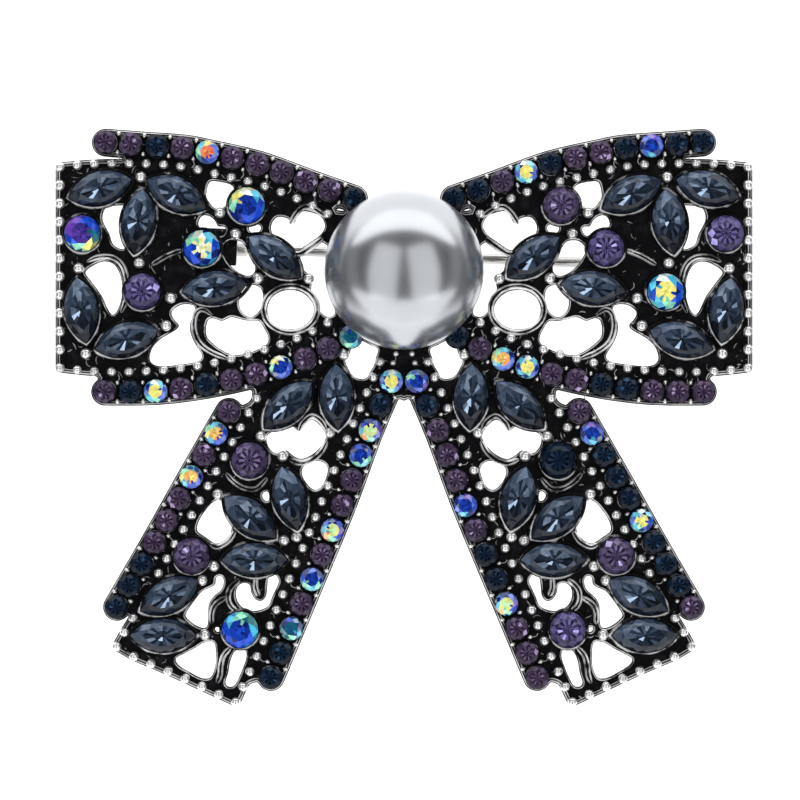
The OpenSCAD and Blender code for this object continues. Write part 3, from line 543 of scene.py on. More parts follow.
def make_sheet():
    """The openwork sheet: a lumpy front, a flat back, cut edges and a wall round each of them."""
    x_end, y_end = BOW_W / 2 + 1, BOW_H / 2 + 1
    xs, ys = np.arange(-x_end, x_end, DOT_STEP), np.arange(-y_end, y_end, DOT_STEP * 0.87)
    dots = np.array([[x + (DOT_STEP / 2 if k % 2 else 0), y] for k, y in enumerate(ys) for x in xs])
    dots = dots + rng.uniform(-0.12, 0.12, dots.shape)
    dots = dots[field_at(dots) < -EDGE_CUT - 0.1]
    lumps = rng.uniform(-LUMP, LUMP, len(dots))
    front, tri, rings, in_front = sheet_side(
        [(0.0, SHEET - EDGE_CUT), (-0.035, SHEET - 0.03), (-EDGE_CUT, SHEET)], dots, SHEET + lumps)
    shape = Shape()
    shape.add(front, tri, np.clip(field_at(front) / EDGE_CUT + 1, 0, 1) * 0.5)
    back, tri, back_rings, in_back = sheet_side([(0.0, BACK_CUT), (-BACK_CUT, 0.0)], dots[:0], lumps[:0])
    shape.add(back, tri[:, ::-1])
    for (a, n), (b, _) in zip(rings, back_rings):
        for i in range(n):
            k = (i + 1) % n
            quad = in_front.get(a + i), in_back.get(b + i), in_back.get(b + k), in_front.get(a + k)
            if None not in quad:
                shape.f.append((quad[0], len(front) + quad[1], len(front) + quad[2], quad[3]))
    return shape


# ---------------------------------------------------------------- materials
def feed(tree, n, inputs):
    """Sets each input to its value, or joins it to the output that is given for it."""
    for key, value in inputs.items():
        if isinstance(value, bpy.types.NodeSocket):
            tree.links.new(value, n.inputs[key])
        else:
            n.inputs[key].default_value = value


def node(tree, kind, inputs, out=0, **settings):
    """A new node's output."""
    n = tree.nodes.new("ShaderNode" + kind)
    for key, value in settings.items():
        setattr(n, key, value)
    feed(tree, n, inputs)
    return n.outputs[out]


def noise(tree, at, scale, detail, rough=0.5):
    inputs = {"Vector": at, "Scale": scale, "Detail": detail, "Roughness": rough}
    return node(tree, "TexNoise", inputs, "Fac")


def mapped(tree, value, low, high, start=0.0, end=1.0):
    """low where the value is at start, high where it is at end."""
    return node(tree, "MapRange", {"Value": value, "From Min": start, "From Max": end, "To Min": low,
                                   "To Max": high}, "Result")


def ramp(tree, value, *stops):
    """The colours of the stops, each at its level of the value, blended."""
    n = tree.nodes.new("ShaderNodeValToRGB")
    while len(n.color_ramp.elements) < len(stops):
        n.color_ramp.elements.new(0.5)
    for element, (at, colour) in zip(n.color_ramp.elements, stops):
        element.position = at
        element.color = (*colour, 1.0)
    feed(tree, n, {"Fac": value})
    return n.outputs["Color"]


def bump(tree, height, strength, distance):
    return node(tree, "Bump", {"Height": height, "Strength": strength, "Distance": distance}, "Normal")


def new_material(name):
    """A material, its tree, its surface and the place on the object."""
    mat = bpy.data.materials.new(name)
    mat.use_nodes = True
    tree = mat.node_tree
    return mat, tree, tree.nodes["Principled BSDF"], node(tree, "TexCoord", {}, "Object")


def silver_material(name, metal, polish, bright=0.93, wear=0.22, grain=900.0):
    """Bright plating on what stands up, black in the recesses, with painted glints of the rough cast between;
    some parts also carry painted light and shade in their shine.
    """
    mat, tree, surface, at = new_material(name)
    shine = node(tree, "Attribute", {}, "Fac", attribute_name="shine")
    patches = noise(tree, at, grain, 4.0, 0.6)
    worn = mapped(tree, patches, -wear, wear, 0.35, 0.65)
    # painted glints: small bright dots of the rough cast laid into the black
    painted_glints = mapped(tree, noise(tree, at, 2600.0, 2.0), 0.0, 0.45, 0.66, 0.74)
    level = node(tree, "Math", {0: shine, 1: worn}, operation="ADD")
    level = node(tree, "Math", {0: level, 1: painted_glints}, operation="ADD", use_clamp=True)
    feed(tree, surface, {
        "Base Color": ramp(tree, level, (0.0, (0.003, 0.003, 0.004)), (0.3, (0.012, 0.012, 0.014)),
                           (0.6, (0.38, 0.38, 0.39)), (1.0, (bright, bright, bright))),
        "Roughness": mapped(tree, level, 0.6, polish), "Metallic": metal,
        "Normal": bump(tree, patches, 0.35, 0.00004)})
    return mat


def steel_material():
    """Drawn wire, with its grain along it."""
    mat, tree, surface, at = new_material("pin_metal")
    stretched = node(tree, "Mapping", {"Vector": at, "Scale": (60.0, 2500.0, 2500.0)})
    grain = noise(tree, stretched, 1.0, 3.0)
    feed(tree, surface, {
        "Base Color": ramp(tree, grain, (0.3, (0.42, 0.41, 0.40)), (0.7, (0.72, 0.71, 0.70))),
        "Roughness": mapped(tree, grain, 0.16, 0.32), "Metallic": 1.0,
        "Normal": bump(tree, grain, 0.2, 0.00002)})
    return mat


def pearl_material():
    mat, tree, surface, at = new_material("grey_pearl")
    cloud, fine = noise(tree, at, 160.0, 3.0), noise(tree, at, 9000.0, 2.0)
    feed(tree, surface, {
        "Base Color": ramp(tree, cloud, (0.3, (0.47, 0.49, 0.52)), (0.7, (0.54, 0.555, 0.585))),
        "Roughness": mapped(tree, fine, 0.22, 0.27), "Metallic": 0.92, "Coat Weight": 0.1,
        "Coat Roughness": 0.12})
    return mat


def stone_material(name, metallic, gloss):
    """Cut glass over foil: each facet's tint holds the stone's colour with its painted reflections and shade,
    clouded a little, under a clear polish.
    """
    mat, tree, surface, at = new_material("cut_glass_" + name)
    tint = node(tree, "Attribute", {}, "Color", attribute_name="tint")
    cells = node(tree, "TexVoronoi", {"Vector": at, "Scale": 2200.0}, "Distance")
    clouded = node(tree, "VectorMath", {0: tint, "Scale": mapped(tree, cells, 0.75, 1.3)}, "Vector",
                   operation="SCALE")
    feed(tree, surface, {"Base Color": clouded, "Metallic": metallic, "Roughness": 0.07, "IOR": 1.5,
                         "Specular IOR Level": gloss})
    return mat


SILVER = silver_material("antique_silver", 0.85, 0.2)
WORN = silver_material("worn_silver", 0.65, 0.3, 0.85, wear=0.6, grain=700.0)
POLISHED = silver_material("polished_silver", 0.82, 0.16, 0.85)
LIPS = silver_material("lip_silver", 0.85, 0.24, 0.6, wear=0.3, grain=600.0)
STEEL = steel_material()
PEARL = pearl_material()
STONE = {"m": stone_material("slate", 0.1, 0.4), "p": stone_material("violet", 0.1, 0.25),
         "n": stone_material("navy", 0.0, 0.18), "t": stone_material("blue_violet", 0.1, 0.3),
         "a": stone_material("iridescent", 0.2, 0.4)}

# ---------------------------------------------------------------- the metal bow
sheet = make_sheet()
fittings = Shape()


def fit(v, f, shine=0.8):
    """Adds to the fittings from the stem's frame, black as painted shade where they meet the back of the
    sheet.
    """
    v = on_stem(v)
    # painted shade: dark next to the back of the sheet, where the hinge pad shows through the openings
    fittings.add(v, f, np.where(v[:, 2] > -BLACK_ROOT, 0.12, shine))


def bevel_box(lo, hi, b):
    """A box with cut edges."""
    ends = np.array([lo, hi], float)
    v, index = [], {}
    for corner in np.ndindex(2, 2, 2):
        for axis in range(3):
            p = [ends[c][k] + (b, -b)[c] for k, c in enumerate(corner)]
            p[axis] = ends[corner[axis]][axis]
            index[corner, axis] = len(v)
            v.append(p)

    def at(axis, c, a, d, on):
        """The vertex on one face of the corner that has c along this axis, a and d along the others."""
        corner = [a, d]
        corner.insert(axis, c)
        return index[tuple(corner), on]

    f = [tuple(at(axis, c, a, d, axis) for a, d in ((0, 0), (1, 0), (1, 1), (0, 1)))
         for axis in range(3) for c in (0, 1)]
    for axis in range(3):
        o, q = [k for k in range(3) if k != axis]
        f += [(at(axis, 0, a, d, o), at(axis, 1, a, d, o), at(axis, 1, a, d, q), at(axis, 0, a, d, q))
              for a, d in np.ndindex(2, 2)]
    f += [tuple(index[corner, axis] for axis in range(3)) for corner in np.ndindex(2, 2, 2)]
    v = np.array(v)
    out = []
    for face in f:
        p = v[list(face)]
        outwards = np.dot(np.cross(p[1] - p[0], p[2] - p[0]), p.mean(axis=0) - ends.mean(axis=0))
        out.append(face if outwards > 0 else tuple(reversed(face)))
    return v, out


# hinge pad, two rounded ears and the open catch
pad = [-EAR_R, -EAR_OUT, STEM_DROP - PAD_T], [EAR_R + 1, EAR_OUT, STEM_DROP + SUNK]
fit(*bevel_box(*pad, BOX_CUT), 0.75)
bore = RIVET_D / 2 + HINGE_GAP
ear_end = STEM_DROP - PAD_T + 0.1
arc = [math.pi + math.pi * i / 18 for i in range(19)]
ear = [[EAR_R, ear_end]] + [[-EAR_R * math.cos(a), EAR_R * math.sin(a)] for a in arc]
ear = even(np.array(ear + [[-EAR_R, ear_end], [EAR_R, ear_end]]), 41)[:-1]
for s in (-1, 1):
    y0, y1 = s * (EAR_IN + EAR_T / 2) - EAR_T / 2, s * (EAR_IN + EAR_T / 2) + EAR_T / 2
    outwards = unit(ear)
    inner, widen, shrink = bore * outwards, (bore + 0.05) * outwards, ear - 0.07 * outwards
    rings = [(inner, y0 + 0.05), (widen, y0), (shrink, y0), (ear, y0 + 0.07), (ear, y1 - 0.07), (shrink, y1),
             (widen, y1), (inner, y1 - 0.05)]
    v = np.concatenate([np.column_stack([r[:, 0], np.full(len(r), y), r[:, 1]]) for r, y in rings])
    fit(v, grid_faces(len(rings), len(ear), closed_rows=True))

slot_top, foot = STEM_D / 2 + HINGE_GAP, STEM_DROP - CATCH_DEPTH
side_cut = [[-CATCH_W / 2, STEM_DROP + SUNK], [-CATCH_W / 2, foot + 0.12], [-CATCH_W / 2 + 0.12, foot],
            [-SLOT_W / 2 - 0.1, foot], [-SLOT_W / 2, foot + 0.1], [-SLOT_W / 2, slot_top - 0.2],
            [-SLOT_W / 2 + 0.2, slot_top]]
hook = np.array(side_cut + [[-y, z] for y, z in side_cut[::-1]])
m = len(hook)
rings = [np.column_stack([np.full(m, STEM_REACH + x), hook + side_of(hook, closed=True) * inset])
         for x, inset in ((-CATCH_L / 2, BOX_CUT), (-CATCH_L / 2 + BOX_CUT, 0), (CATCH_L / 2 - BOX_CUT, 0),
                          (CATCH_L / 2, BOX_CUT))]
fit(np.concatenate(rings), reversed_faces(grid_faces(4, m))
    + [tuple(range(m)), tuple(range(4 * m - 1, 3 * m - 1, -1))])

# the pearl's cup
cup = Shape()
v, f = lathe([(0, 0.6), (CUP_R - 0.4, 0.6), (CUP_R - 0.06, 0.62), (CUP_R, 0.72), (CUP_R, SEAT_Z - 0.12),
              (CUP_R - 0.1, SEAT_Z), (0, SEAT_Z)], 72)
v[:, :2] += place(PEARL_AT)
cup.add(v, f, 0.7)

# scroll ridges, double with a groove between; profiles are (across, up, shine)
ridge = [(-0.5, -0.35, 0.1), (-0.5, 0.26, 0.7), (-0.44, 0.46, 1), (-0.3, 0.58, 1), (-0.16, 0.52, 0.8),
         (-0.1, 0.34, 0.0)]
ridge += [(-x, z, shine) for x, z, shine in ridge[::-1]]
DOUBLE = [(x * SCROLL_W, z, shine) for x, z, shine in ridge]
scrolls = Shape()
for s in (1, -1):
    for line in SCROLLS:
        t = np.linspace(0, 1, 30)
        taper = np.clip(np.minimum(t, 1 - t) / 0.12, 0, 1) ** 0.5 * 0.7 + 0.3
        sweep(scrolls, lay(spaced(line, 30), s), DOUBLE, taper=taper, flip=s > 0)
    ring = place(RING_AT) + place(RING_AXES) * circle(48)
    sweep(scrolls, lay(ring, s), DOUBLE, closed=True, flip=s > 0)

# a polished lip round the outside of the bow, its outer wall black as painted shade, and a thin worn edge
# round every opening
# the lip's outer wall and outermost strip carry painted shade: a dark outline along the outside of the bow
LIP_LINE = [(0.0, -0.85, 0.0), (0.0, -0.05, 0.0), (0.08, 0.02, 0.04), (0.105, 0.12, 0.72), (0.16, 0.17, 0.95),
            (0.21, 0.14, 0.8), (0.24, 0.07, 0.0), (0.28, 0.07, 0.0), (0.31, 0.12, 0.85), (0.39, 0.1, 0.8),
            (0.43, -0.3, 0.0)]
WIRE = [(0.0, -0.7, 0.0), (0.0, -0.06, 0.02), (0.06, 0.03, 0.1), (0.08, 0.1, 0.8), (0.13, 0.12, 0.85),
        (0.18, 0.05, 0.3), (0.2, -0.2, 0.0)]
edges, wires = Shape(), Shape()
for loop in level_loops(0.0):
    outside = np.mean(np.abs(field_at(loop, WHOLE))) < 0.12
    line = smoothed(thinned(smoothed(loop, 2), 0.17 if outside else 0.15), 1)
    if len(line) < 10:
        continue
    if np.mean(field_at(line + 0.08 * side_of(line, closed=True))) >= 0:
        line = line[::-1]
    sweep(edges if outside else wires, line, LIP_LINE if outside else WIRE, closed=True)

# low ridges on the floor between the settings, as cast and worn
MARK = [(-0.08, -0.1, 0.3), (-0.05, 0.06, 0.9), (0.0, 0.11, 1.0), (0.05, 0.06, 0.9), (0.08, -0.1, 0.3)]
marks = Shape()
count = 0
while count < MARKS:
    middle = rng.uniform([-BOW_W / 2, -BOW_H / 2], [BOW_W / 2, BOW_H / 2])
    a = rng.uniform(0, math.pi)
    bend = rng.uniform(-1.2, 1.2)
    length = rng.uniform(0.25, 0.8)
    t = np.linspace(-0.5, 0.5, 6)
    p = middle + length * np.stack([t * math.cos(a) - bend * t * t * math.sin(a),
                                    t * math.sin(a) + bend * t * t * math.cos(a)], axis=1)
    if np.max(field_at(p)) <= -0.25:
        count += 1
        sweep(marks, p, MARK, taper=np.array([0.2, 0.8, 1, 1, 0.8, 0.2]) * rng.uniform(0.6, 1.1))

# walls round the marquise and medium stones: a painted highlight along the lower side only, with painted
# shade on the upper side
# (distance from the stone, height, shine)
WALL_LEVELS = [(GAP * 0.5, SHEET - 0.2, 0.0), (GAP * 0.5, WALL_Z - 0.06, 0.2),
               (GAP + 0.02, WALL_Z - 0.01, 0.95), (GAP + 0.08, WALL_Z, 1.0),
               (GAP + 0.12, WALL_Z - 0.05, 0.55), (GAP + WALL - 0.02, WALL_Z - 0.16, 0.1),
               (GAP + WALL, SHEET + 0.1, 0.0), (GAP + WALL, 0.3, 0.0)]
walls = Shape()


def turned(angle):
    """Turns points, as rows, by this angle."""
    c, s = math.cos(angle), math.sin(angle)
    return np.array([[c, s], [-s, c]])


def wall_ring(outline_at, at, turn, s):
    v, shine = [], []
    for out, z, level in WALL_LEVELS:
        ring = lay(outline_at(out) @ turned(turn), s)
        away = unit(ring)
        # painted light: each wall's shine is bright towards its lower side and shaded away towards its upper
        # side
        shine.append(level * np.clip(0.3 - 0.85 * away[:, 1] - 0.12 * away[:, 0], 0.0, 1))
        v.append(np.column_stack([ring + lay(place(at), s), np.full(len(ring), z)]))
    f = grid_faces(len(v), len(v[0]), closed_rows=True)
    walls.add(np.concatenate(v), reversed_faces(f) if s > 0 else f, np.concatenate(shine))


for s in (1, -1):
    for x, y, turn in MARQUISES:
        wall_ring(lambda d: marquise_outline(MARQ_L + 3 * d, MARQ_W + 2 * d, 20), [x, y],
                  math.radians(-turn), s)
    for at in MEDIUMS:
        wall_ring(lambda d: round_outline(MEDIUM_D + 2 * d, 40), at, 0.0, s)

# beads
beads = Shape()


def bead(at, diameter, rise=BEAD_RISE, turns=20, tall=1.0):
    """A ball on a narrower foot, bright down to its equator, stretched along the bow's height by tall."""
    r = diameter / 2
    v, f = lathe([(0, -0.3), (r * 0.55, -0.3)]
                 + [(r * math.cos(a), r * math.sin(a)) for a in np.linspace(-0.5, math.pi / 2, 9)[:-1]]
                 + [(0, r)], turns)
    shine = np.clip((v[:, 2] / r + 0.45) / 0.35, 0, 1)
    v[:, 1] *= tall
    beads.add(v + [*at, SHEET + rise], f, shine)


for s in (1, -1):
    for name, row in BEAD_ROWS.items():
        for at in lay(row, s):
            wide = 1 if name in ("side", "hem") else 1 - rng.uniform(0.0, 0.04)
            bead(at, ROW_BEAD * wide, tall=1.12 if name == "side" else 1)
    for at in lay(places(SINGLES), s):
        bead(at, SINGLE_BEAD)
    for at in lay(places(KNOT_BEADS), s):
        bead(at, SINGLE_BEAD * 0.55, BEAD_RISE / 2, 12)

# prongs beside the small stones, some with a hair of metal to the rim
HAIR = [(-0.045, -0.1, 0.3), (-0.03, 0.06, 0.8), (0.03, 0.06, 0.8), (0.045, -0.1, 0.3)]
PRONG_TOP = RELIEF + 0.15
prongs = Shape()
for s in (1, -1):
    for row in STONE_ROWS:
        row = lay(row, s)
        for a, b in zip(row[:-1], row[1:]):
            middle, d = (a + b) / 2, (b - a) / np.linalg.norm(b - a)
            n = np.array([-d[1], d[0]])
            for k in (-1, 1):
                outside = field_at((middle + k * (BAND_HALF + 0.25) * n)[None], WHOLE)[0] > 0
                at = middle + k * (PRONG_REACH + (0.06 if outside else 0.02)) * n
                r = PRONG_D / 2 * rng.uniform(0.9, 1.0)
                v, f = lathe([(0, -0.4), (r, -0.4), (r, PRONG_TOP - 0.3), (r * 0.86, PRONG_TOP - 0.12),
                              (r * 0.5, PRONG_TOP - 0.02), (0, PRONG_TOP)], 12)
                shine = np.clip((v[:, 2] - 0.1) / 0.25, 0, 1)
                long = 1.0 + 0.25 * rng.uniform(0, 1)
                xy = at + v[:, :1] * d * 0.92 + v[:, 1:2] * n * long
                prongs.add(np.column_stack([xy, v[:, 2] + SHEET]), f, shine)
                if not outside and rng.uniform() < 0.5:
                    p = at + np.outer(np.linspace(0.1, 0.75, 5), k * n) + np.outer([0, 0.1, 0.15, 0.1, 0], d)
                    sweep(prongs, p, HAIR, SHEET + 0.03)

# cups under the small stones, seen between stone and metal
CUP_LEVELS = [(0.5, -0.1), (1.0, -0.1), (1.04, 0.3), (0.94, 0.32), (0.5, 0.05)]
cups = Shape()
for s in (1, -1):
    for row in STONE_ROWS:
        for at in lay(row, s):
            v = np.concatenate([np.column_stack([at + round_outline(SMALL_D * k, 20), np.full(20, SHEET + z)])
                                for k, z in CUP_LEVELS])
            shine = np.repeat([0.28 if z >= 0.3 else 0.0 for _, z in CUP_LEVELS], 20)
            cups.add(v, grid_faces(len(CUP_LEVELS), 20, closed_rows=True), shine)

sheet.make("bow_sheet", SILVER, replaces=("bow_frame",))
for shape, name, angle, metal in (
        (fittings, "hinge_ears_and_catch", 30, SILVER), (cup, "pearl_cup", 40, SILVER),
        (scrolls, "scroll_ridges", 60, WORN), (edges, "polished_edges", 60, LIPS),
        (wires, "opening_edges", 60, WORN), (marks, "worn_marks", 60, WORN), (walls, "stone_walls", 50, WORN),
        (beads, "edge_beads", 60, POLISHED), (prongs, "stone_prongs", 60, POLISHED),
        (cups, "stone_cups", 40, SILVER)):
    shape.make(name, metal, smooth=angle)

# ---------------------------------------------------------------- cut stones
# each stone's colour from the darkest facet to the lightest, a range of painted shade and painted reflection:
# m slate, v light violet, p violet, n navy, t blue violet
TINTS = {
    "m": [(0.003, 0.004, 0.007), (0.012, 0.019, 0.033), (0.040, 0.060, 0.098), (0.165, 0.215, 0.300)],
    "v": [(0.009, 0.006, 0.016), (0.042, 0.029, 0.070), (0.112, 0.084, 0.180), (0.320, 0.265, 0.470)],
    "p": [(0.008, 0.005, 0.011), (0.032, 0.019, 0.044), (0.080, 0.055, 0.108), (0.240, 0.180, 0.310)],
    "n": [(0.001, 0.002, 0.004), (0.003, 0.007, 0.016), (0.006, 0.016, 0.036), (0.016, 0.038, 0.078)],
    "t": [(0.010, 0.008, 0.026), (0.044, 0.036, 0.104), (0.112, 0.096, 0.240), (0.270, 0.240, 0.500)],
}
BLUE, DEEP, CYAN, TEAL = (0.01, 0.065, 0.56), (0.006, 0.016, 0.15), (0.07, 0.48, 0.7), (0.008, 0.15, 0.19)
MINT, PALE, VIOLET = (0.3, 0.8, 0.52), (0.78, 0.86, 0.76), (0.14, 0.05, 0.42)
YELLOW, ORANGE, RED = (0.86, 0.78, 0.2), (0.86, 0.34, 0.12), (0.76, 0.13, 0.07)
# the coating's own hues, placed facet by facet as painted reflections: the table's colour, a second one in
# it, then eight of the crown from the right and round by the top
AB = {
    "red": (RED, ORANGE, (BLUE, BLUE, YELLOW, CYAN, MINT, TEAL, BLUE, BLUE)),
    "yellow": (YELLOW, YELLOW, (BLUE, CYAN, PALE, CYAN, BLUE, CYAN, MINT, BLUE)),
    "centre": (YELLOW, PALE, (BLUE, CYAN, PALE, MINT, BLUE, BLUE, DEEP, CYAN)),
    "orange": (ORANGE, YELLOW, (BLUE, DEEP, CYAN, MINT, YELLOW, CYAN, BLUE, BLUE)),
    "blue": (DEEP, BLUE, (BLUE, BLUE, VIOLET, BLUE, DEEP, BLUE, CYAN, DEEP)),
    "wide": (DEEP, BLUE, (BLUE, CYAN, PALE, YELLOW, MINT, DEEP, BLUE, BLUE)),
    "bluelow": (DEEP, BLUE, (BLUE, DEEP, BLUE, DEEP, BLUE, MINT, CYAN, MINT)),
    "cobalt": (DEEP, BLUE, (CYAN, TEAL, MINT, CYAN, BLUE, BLUE, BLUE, BLUE)),
    "green": (YELLOW, MINT, (VIOLET, BLUE, DEEP, BLUE, CYAN, ORANGE, MINT, BLUE)),
    "corner": (DEEP, VIOLET, (TEAL, BLUE, BLUE, VIOLET, VIOLET, BLUE, MINT, YELLOW)),
    "teal": (TEAL, DEEP, (DEEP, TEAL, BLUE, DEEP, TEAL, TEAL, MINT, CYAN)),
    "spot": (DEEP, BLUE, (BLUE, DEEP, BLUE, MINT, BLUE, DEEP, BLUE, VIOLET)),
}
GLINT = (0.42, 0.55, 0.74)
# how light each kind of facet is painted, as painted reflection and shade, from the darkest tint at 0 to the
# lightest at 1
SLATE_LEVELS = {"base": 0.0, "star": 0.46, "kite": 0.4, "edge": 0.3, "outer": 0.5, "inner": 0.36, "hub": 0.1}
ROUND_LEVELS = {"base": 0.05, "star": 0.22, "kite": 0.46, "hub": 0.1}
# painted reflection streaks: lighter and darker steps across the wheel of facets in the slate stones' tables
STREAKS = (0.36, -0.36, 0.08, -0.22, 0.2)


def blended(a, b, t):
    return np.array(a) * (1 - t) + np.array(b) * t


def shade_of(letter, level):
    """From the darkest tint of a stone at 0 to its lightest at 1."""
    row = TINTS[letter]
    x = float(np.clip(level, 0, 0.999)) * 3
    return blended(row[int(x)], row[int(x) + 1], x - int(x))


def stone_body(outline, height, foot, table, middle, hub):
    """A brilliant: star, kite and girdle facets round a table whose inner facets make a wheel.

    The faces come as (vertices, kind, number)."""
    m = len(outline(1.0))
    half = m // 2
    corners = outline(table)[::2]
    wheel = np.empty((m, 2))
    wheel[0::2], wheel[1::2] = corners, (corners + np.roll(corners, -1, axis=0)) / 2
    upper = GIRDLE_Z + GIRDLE_T
    levels = ((outline(foot), 0.0), (outline(1.0), GIRDLE_Z), (outline(1.0), upper),
              (outline(middle)[1::2], upper + (height - upper) * 0.6), (wheel, height),
              (wheel * 0.5, height), (wheel * hub, height))
    v = np.concatenate([np.column_stack([ring, np.full(len(ring), z)]) for ring, z in levels])
    # where each ring starts: foot, lower and upper girdle, kites, table, its inner ring and its hub
    A, G, H, K = 0, m, 2 * m, 3 * m
    T = K + half
    I, C = T + m, T + 2 * m
    faces = [(tuple(range(m - 1, -1, -1)), "base", 0)]
    for j in range(m):
        k = (j + 1) % m
        faces += [((A + j, A + k, G + k, G + j), "base", j), ((G + j, G + k, H + k, H + j), "base", j),
                  ((I + j, T + j, T + k, I + k), "outer", j), ((C + j, I + j, I + k, C + k), "inner", j)]
    for i in range(half):
        b, k = (i - 1) % half, (i + 1) % half
        faces += [((T + 2 * i, K + i, T + 2 * k), "star", i),
                  ((K + i, T + 2 * i, K + b, H + 2 * i), "kite", i),
                  ((K + i, H + 2 * i, H + 2 * i + 1), "edge", 2 * i),
                  ((K + i, H + 2 * i + 1, H + (2 * i + 2) % m), "edge", 2 * i + 1)]
    return v, faces + [(tuple(C + j for j in range(m)), "hub", 0)]


def iridescent_tint(look, kind, sector, chance, small, local):
    table_colour, second, crown = look
    # painted reflections: each facet gets a hue of the coating by its place, some painted dark
    if kind in ("hub", "inner"):
        return blended(table_colour, second, 0.5 + 0.5 * chance) * (1 + 0.25 * chance)
    if kind == "outer":
        if local.random() < 0.85:
            return blended(table_colour, second, local.uniform(0, 0.6))
        return np.array(crown[sector]) * 0.7
    if kind == "base":
        return np.array(DEEP) * 0.6
    tint = blended(crown[sector], PALE, 0.12 + 0.12 * chance if small else 0) * (1 + 0.22 * chance)
    if kind == "edge":
        tint = blended(tint, crown[(sector + 1) % 8], 0.35) * 0.8
    return np.array(DEEP) if local.random() < 0.1 else tint


def slate_tint(kind, i, chance, toward_painted_light, far, near_glint):
    # painted light: facets toward the upper left lighter, painted reflection streaks and a painted glint in
    # the table, and the table's ends painted darker as shade
    level = SLATE_LEVELS[kind] + 0.55 * toward_painted_light + 0.2 * chance
    if kind in ("outer", "inner"):
        level += STREAKS[i % 5] * (1 if kind == "outer" else 0.45) * (0.8 + 0.6 * chance) - 0.25 * far
        if near_glint < (0.3 if kind == "inner" else 0.14):
            return np.array(GLINT)
    return shade_of("m", max(level, 0.03))


def round_tint(letter, kind, i, chance, toward_painted_light, local):
    # painted reflections: light spokes in the table, a rare painted sparkle, and facets toward the upper left
    # painted lighter
    spoke = i % 2 == 0
    level = {**ROUND_LEVELS, "outer": 0.66 if spoke else 0.1, "inner": 0.16 if spoke else 0.5,
             "edge": 0.3 if i % 4 < 2 else 0.12}[kind]
    if kind in ("kite", "outer") and local.random() < 0.05:
        return shade_of(letter, 1) * 1.5
    return shade_of(letter, max(level + 0.16 * chance + 0.14 * toward_painted_light, 0.02))


def stone(shape, height, outline, at, turn, letter, local, foot=0.45, look="blue", table=0.6, middle=0.82):
    """A stone at a place of the bow, turned, with a tint for each facet that holds its painted reflections
    and shade.
    """
    v, faces = stone_body(outline, height, foot, table, middle, 0.2 if letter == "a" else 0.12)
    along = turned(turn)
    v[:, :2] = v[:, :2] @ along
    size = np.max(np.linalg.norm(outline(1.0), axis=1))
    glint = local.uniform(-2.7, -1.9)
    streak = local.integers(5)
    tints, out = [], []
    for face, kind, i in faces:
        p = v[list(face)]
        upright = np.cross(p[1] - p[0], p[2] - p[0])[2]
        out.append(tuple(reversed(face)) if kind != "base" and upright < 0 else face)
        centre = p.mean(axis=0)
        angle = math.atan2(centre[1], centre[0])
        # how far a facet lies toward the upper left, which is painted lighter as painted light
        toward_painted_light = centre[1] / size - 0.3 * centre[0] / size
        chance = local.uniform(-1, 1)
        if letter == "a":
            sector = int(round(angle / (math.pi / 4))) % 8
            tint = iridescent_tint(AB[look], kind, sector, chance, size < 1.2, local)
        elif letter == "m":
            # the ends of a marquise, where the table is painted darker as shade
            far = abs(centre[:2] @ along[0]) / size > 0.4
            tint = slate_tint(kind, i + streak, chance, toward_painted_light, far, abs(angle - glint))
        else:
            tint = round_tint(letter, kind, i, chance, toward_painted_light, local)
        tints.append(tuple(np.clip(tint, 0, 1)))
    shape.add(v + [*at, STONE_Z], out, 1.0, tints)


# the looks of the iridescent stones by row, half and number, and by half and number
LOOKS_SMALL = {
    (0, -1, 4): "red", (1, -1, 2): "yellow", (1, -1, 7): "wide", (1, -1, 10): "teal",
    (0, 1, 2): "blue", (0, 1, 7): "yellow", (1, 1, 7): "yellow", (1, 1, 8): "orange",
    (3, -1, 0): "yellow", (3, 1, 0): "spot", (2, -1, 1): "orange", (2, -1, 3): "orange",
    (3, -1, 2): "green", (3, -1, 3): "bluelow", (3, -1, 6): "green", (3, -1, 8): "bluelow",
    (3, -1, 10): "teal", (2, 1, 1): "blue", (2, 1, 5): "yellow", (3, 1, 5): "blue", (3, 1, 9): "green"}
BLUE_VIOLETS = {(1, 0), (1, 2)}
LOOKS_MEDIUM = {(-1, 0): "corner", (-1, 1): "wide", (-1, 2): "centre", (-1, 6): "cobalt", (1, 3): "yellow"}
WORDS = {"p": "violet", "n": "navy", "t": "blue_violet", "a": "iridescent", "m": "slate"}
small = {"p": Shape(), "n": Shape(), "a": Shape()}
for r, row in enumerate(STONE_ROWS):
    for s in (-1, 1):
        for i, at in enumerate(lay(row, s)):
            letter = ROW_COLOURS[r][(s + 1) // 2][i]
            local = np.random.default_rng(1000 + 100 * r + 10 * i + (s + 1))
            stone(small[letter], SMALL_H, lambda k: round_outline(SMALL_D * k, 16), at, local.uniform(0, 0.7),
                  letter, local, 0.35, LOOKS_SMALL.get((r, s, i), "blue"))
for letter, shape in small.items():
    name = "small_stones_" + WORDS[letter]
    shape.make("cut_" + name, STONE[letter], smooth=0, replaces=(name,), slot="stones_" + WORDS[letter])
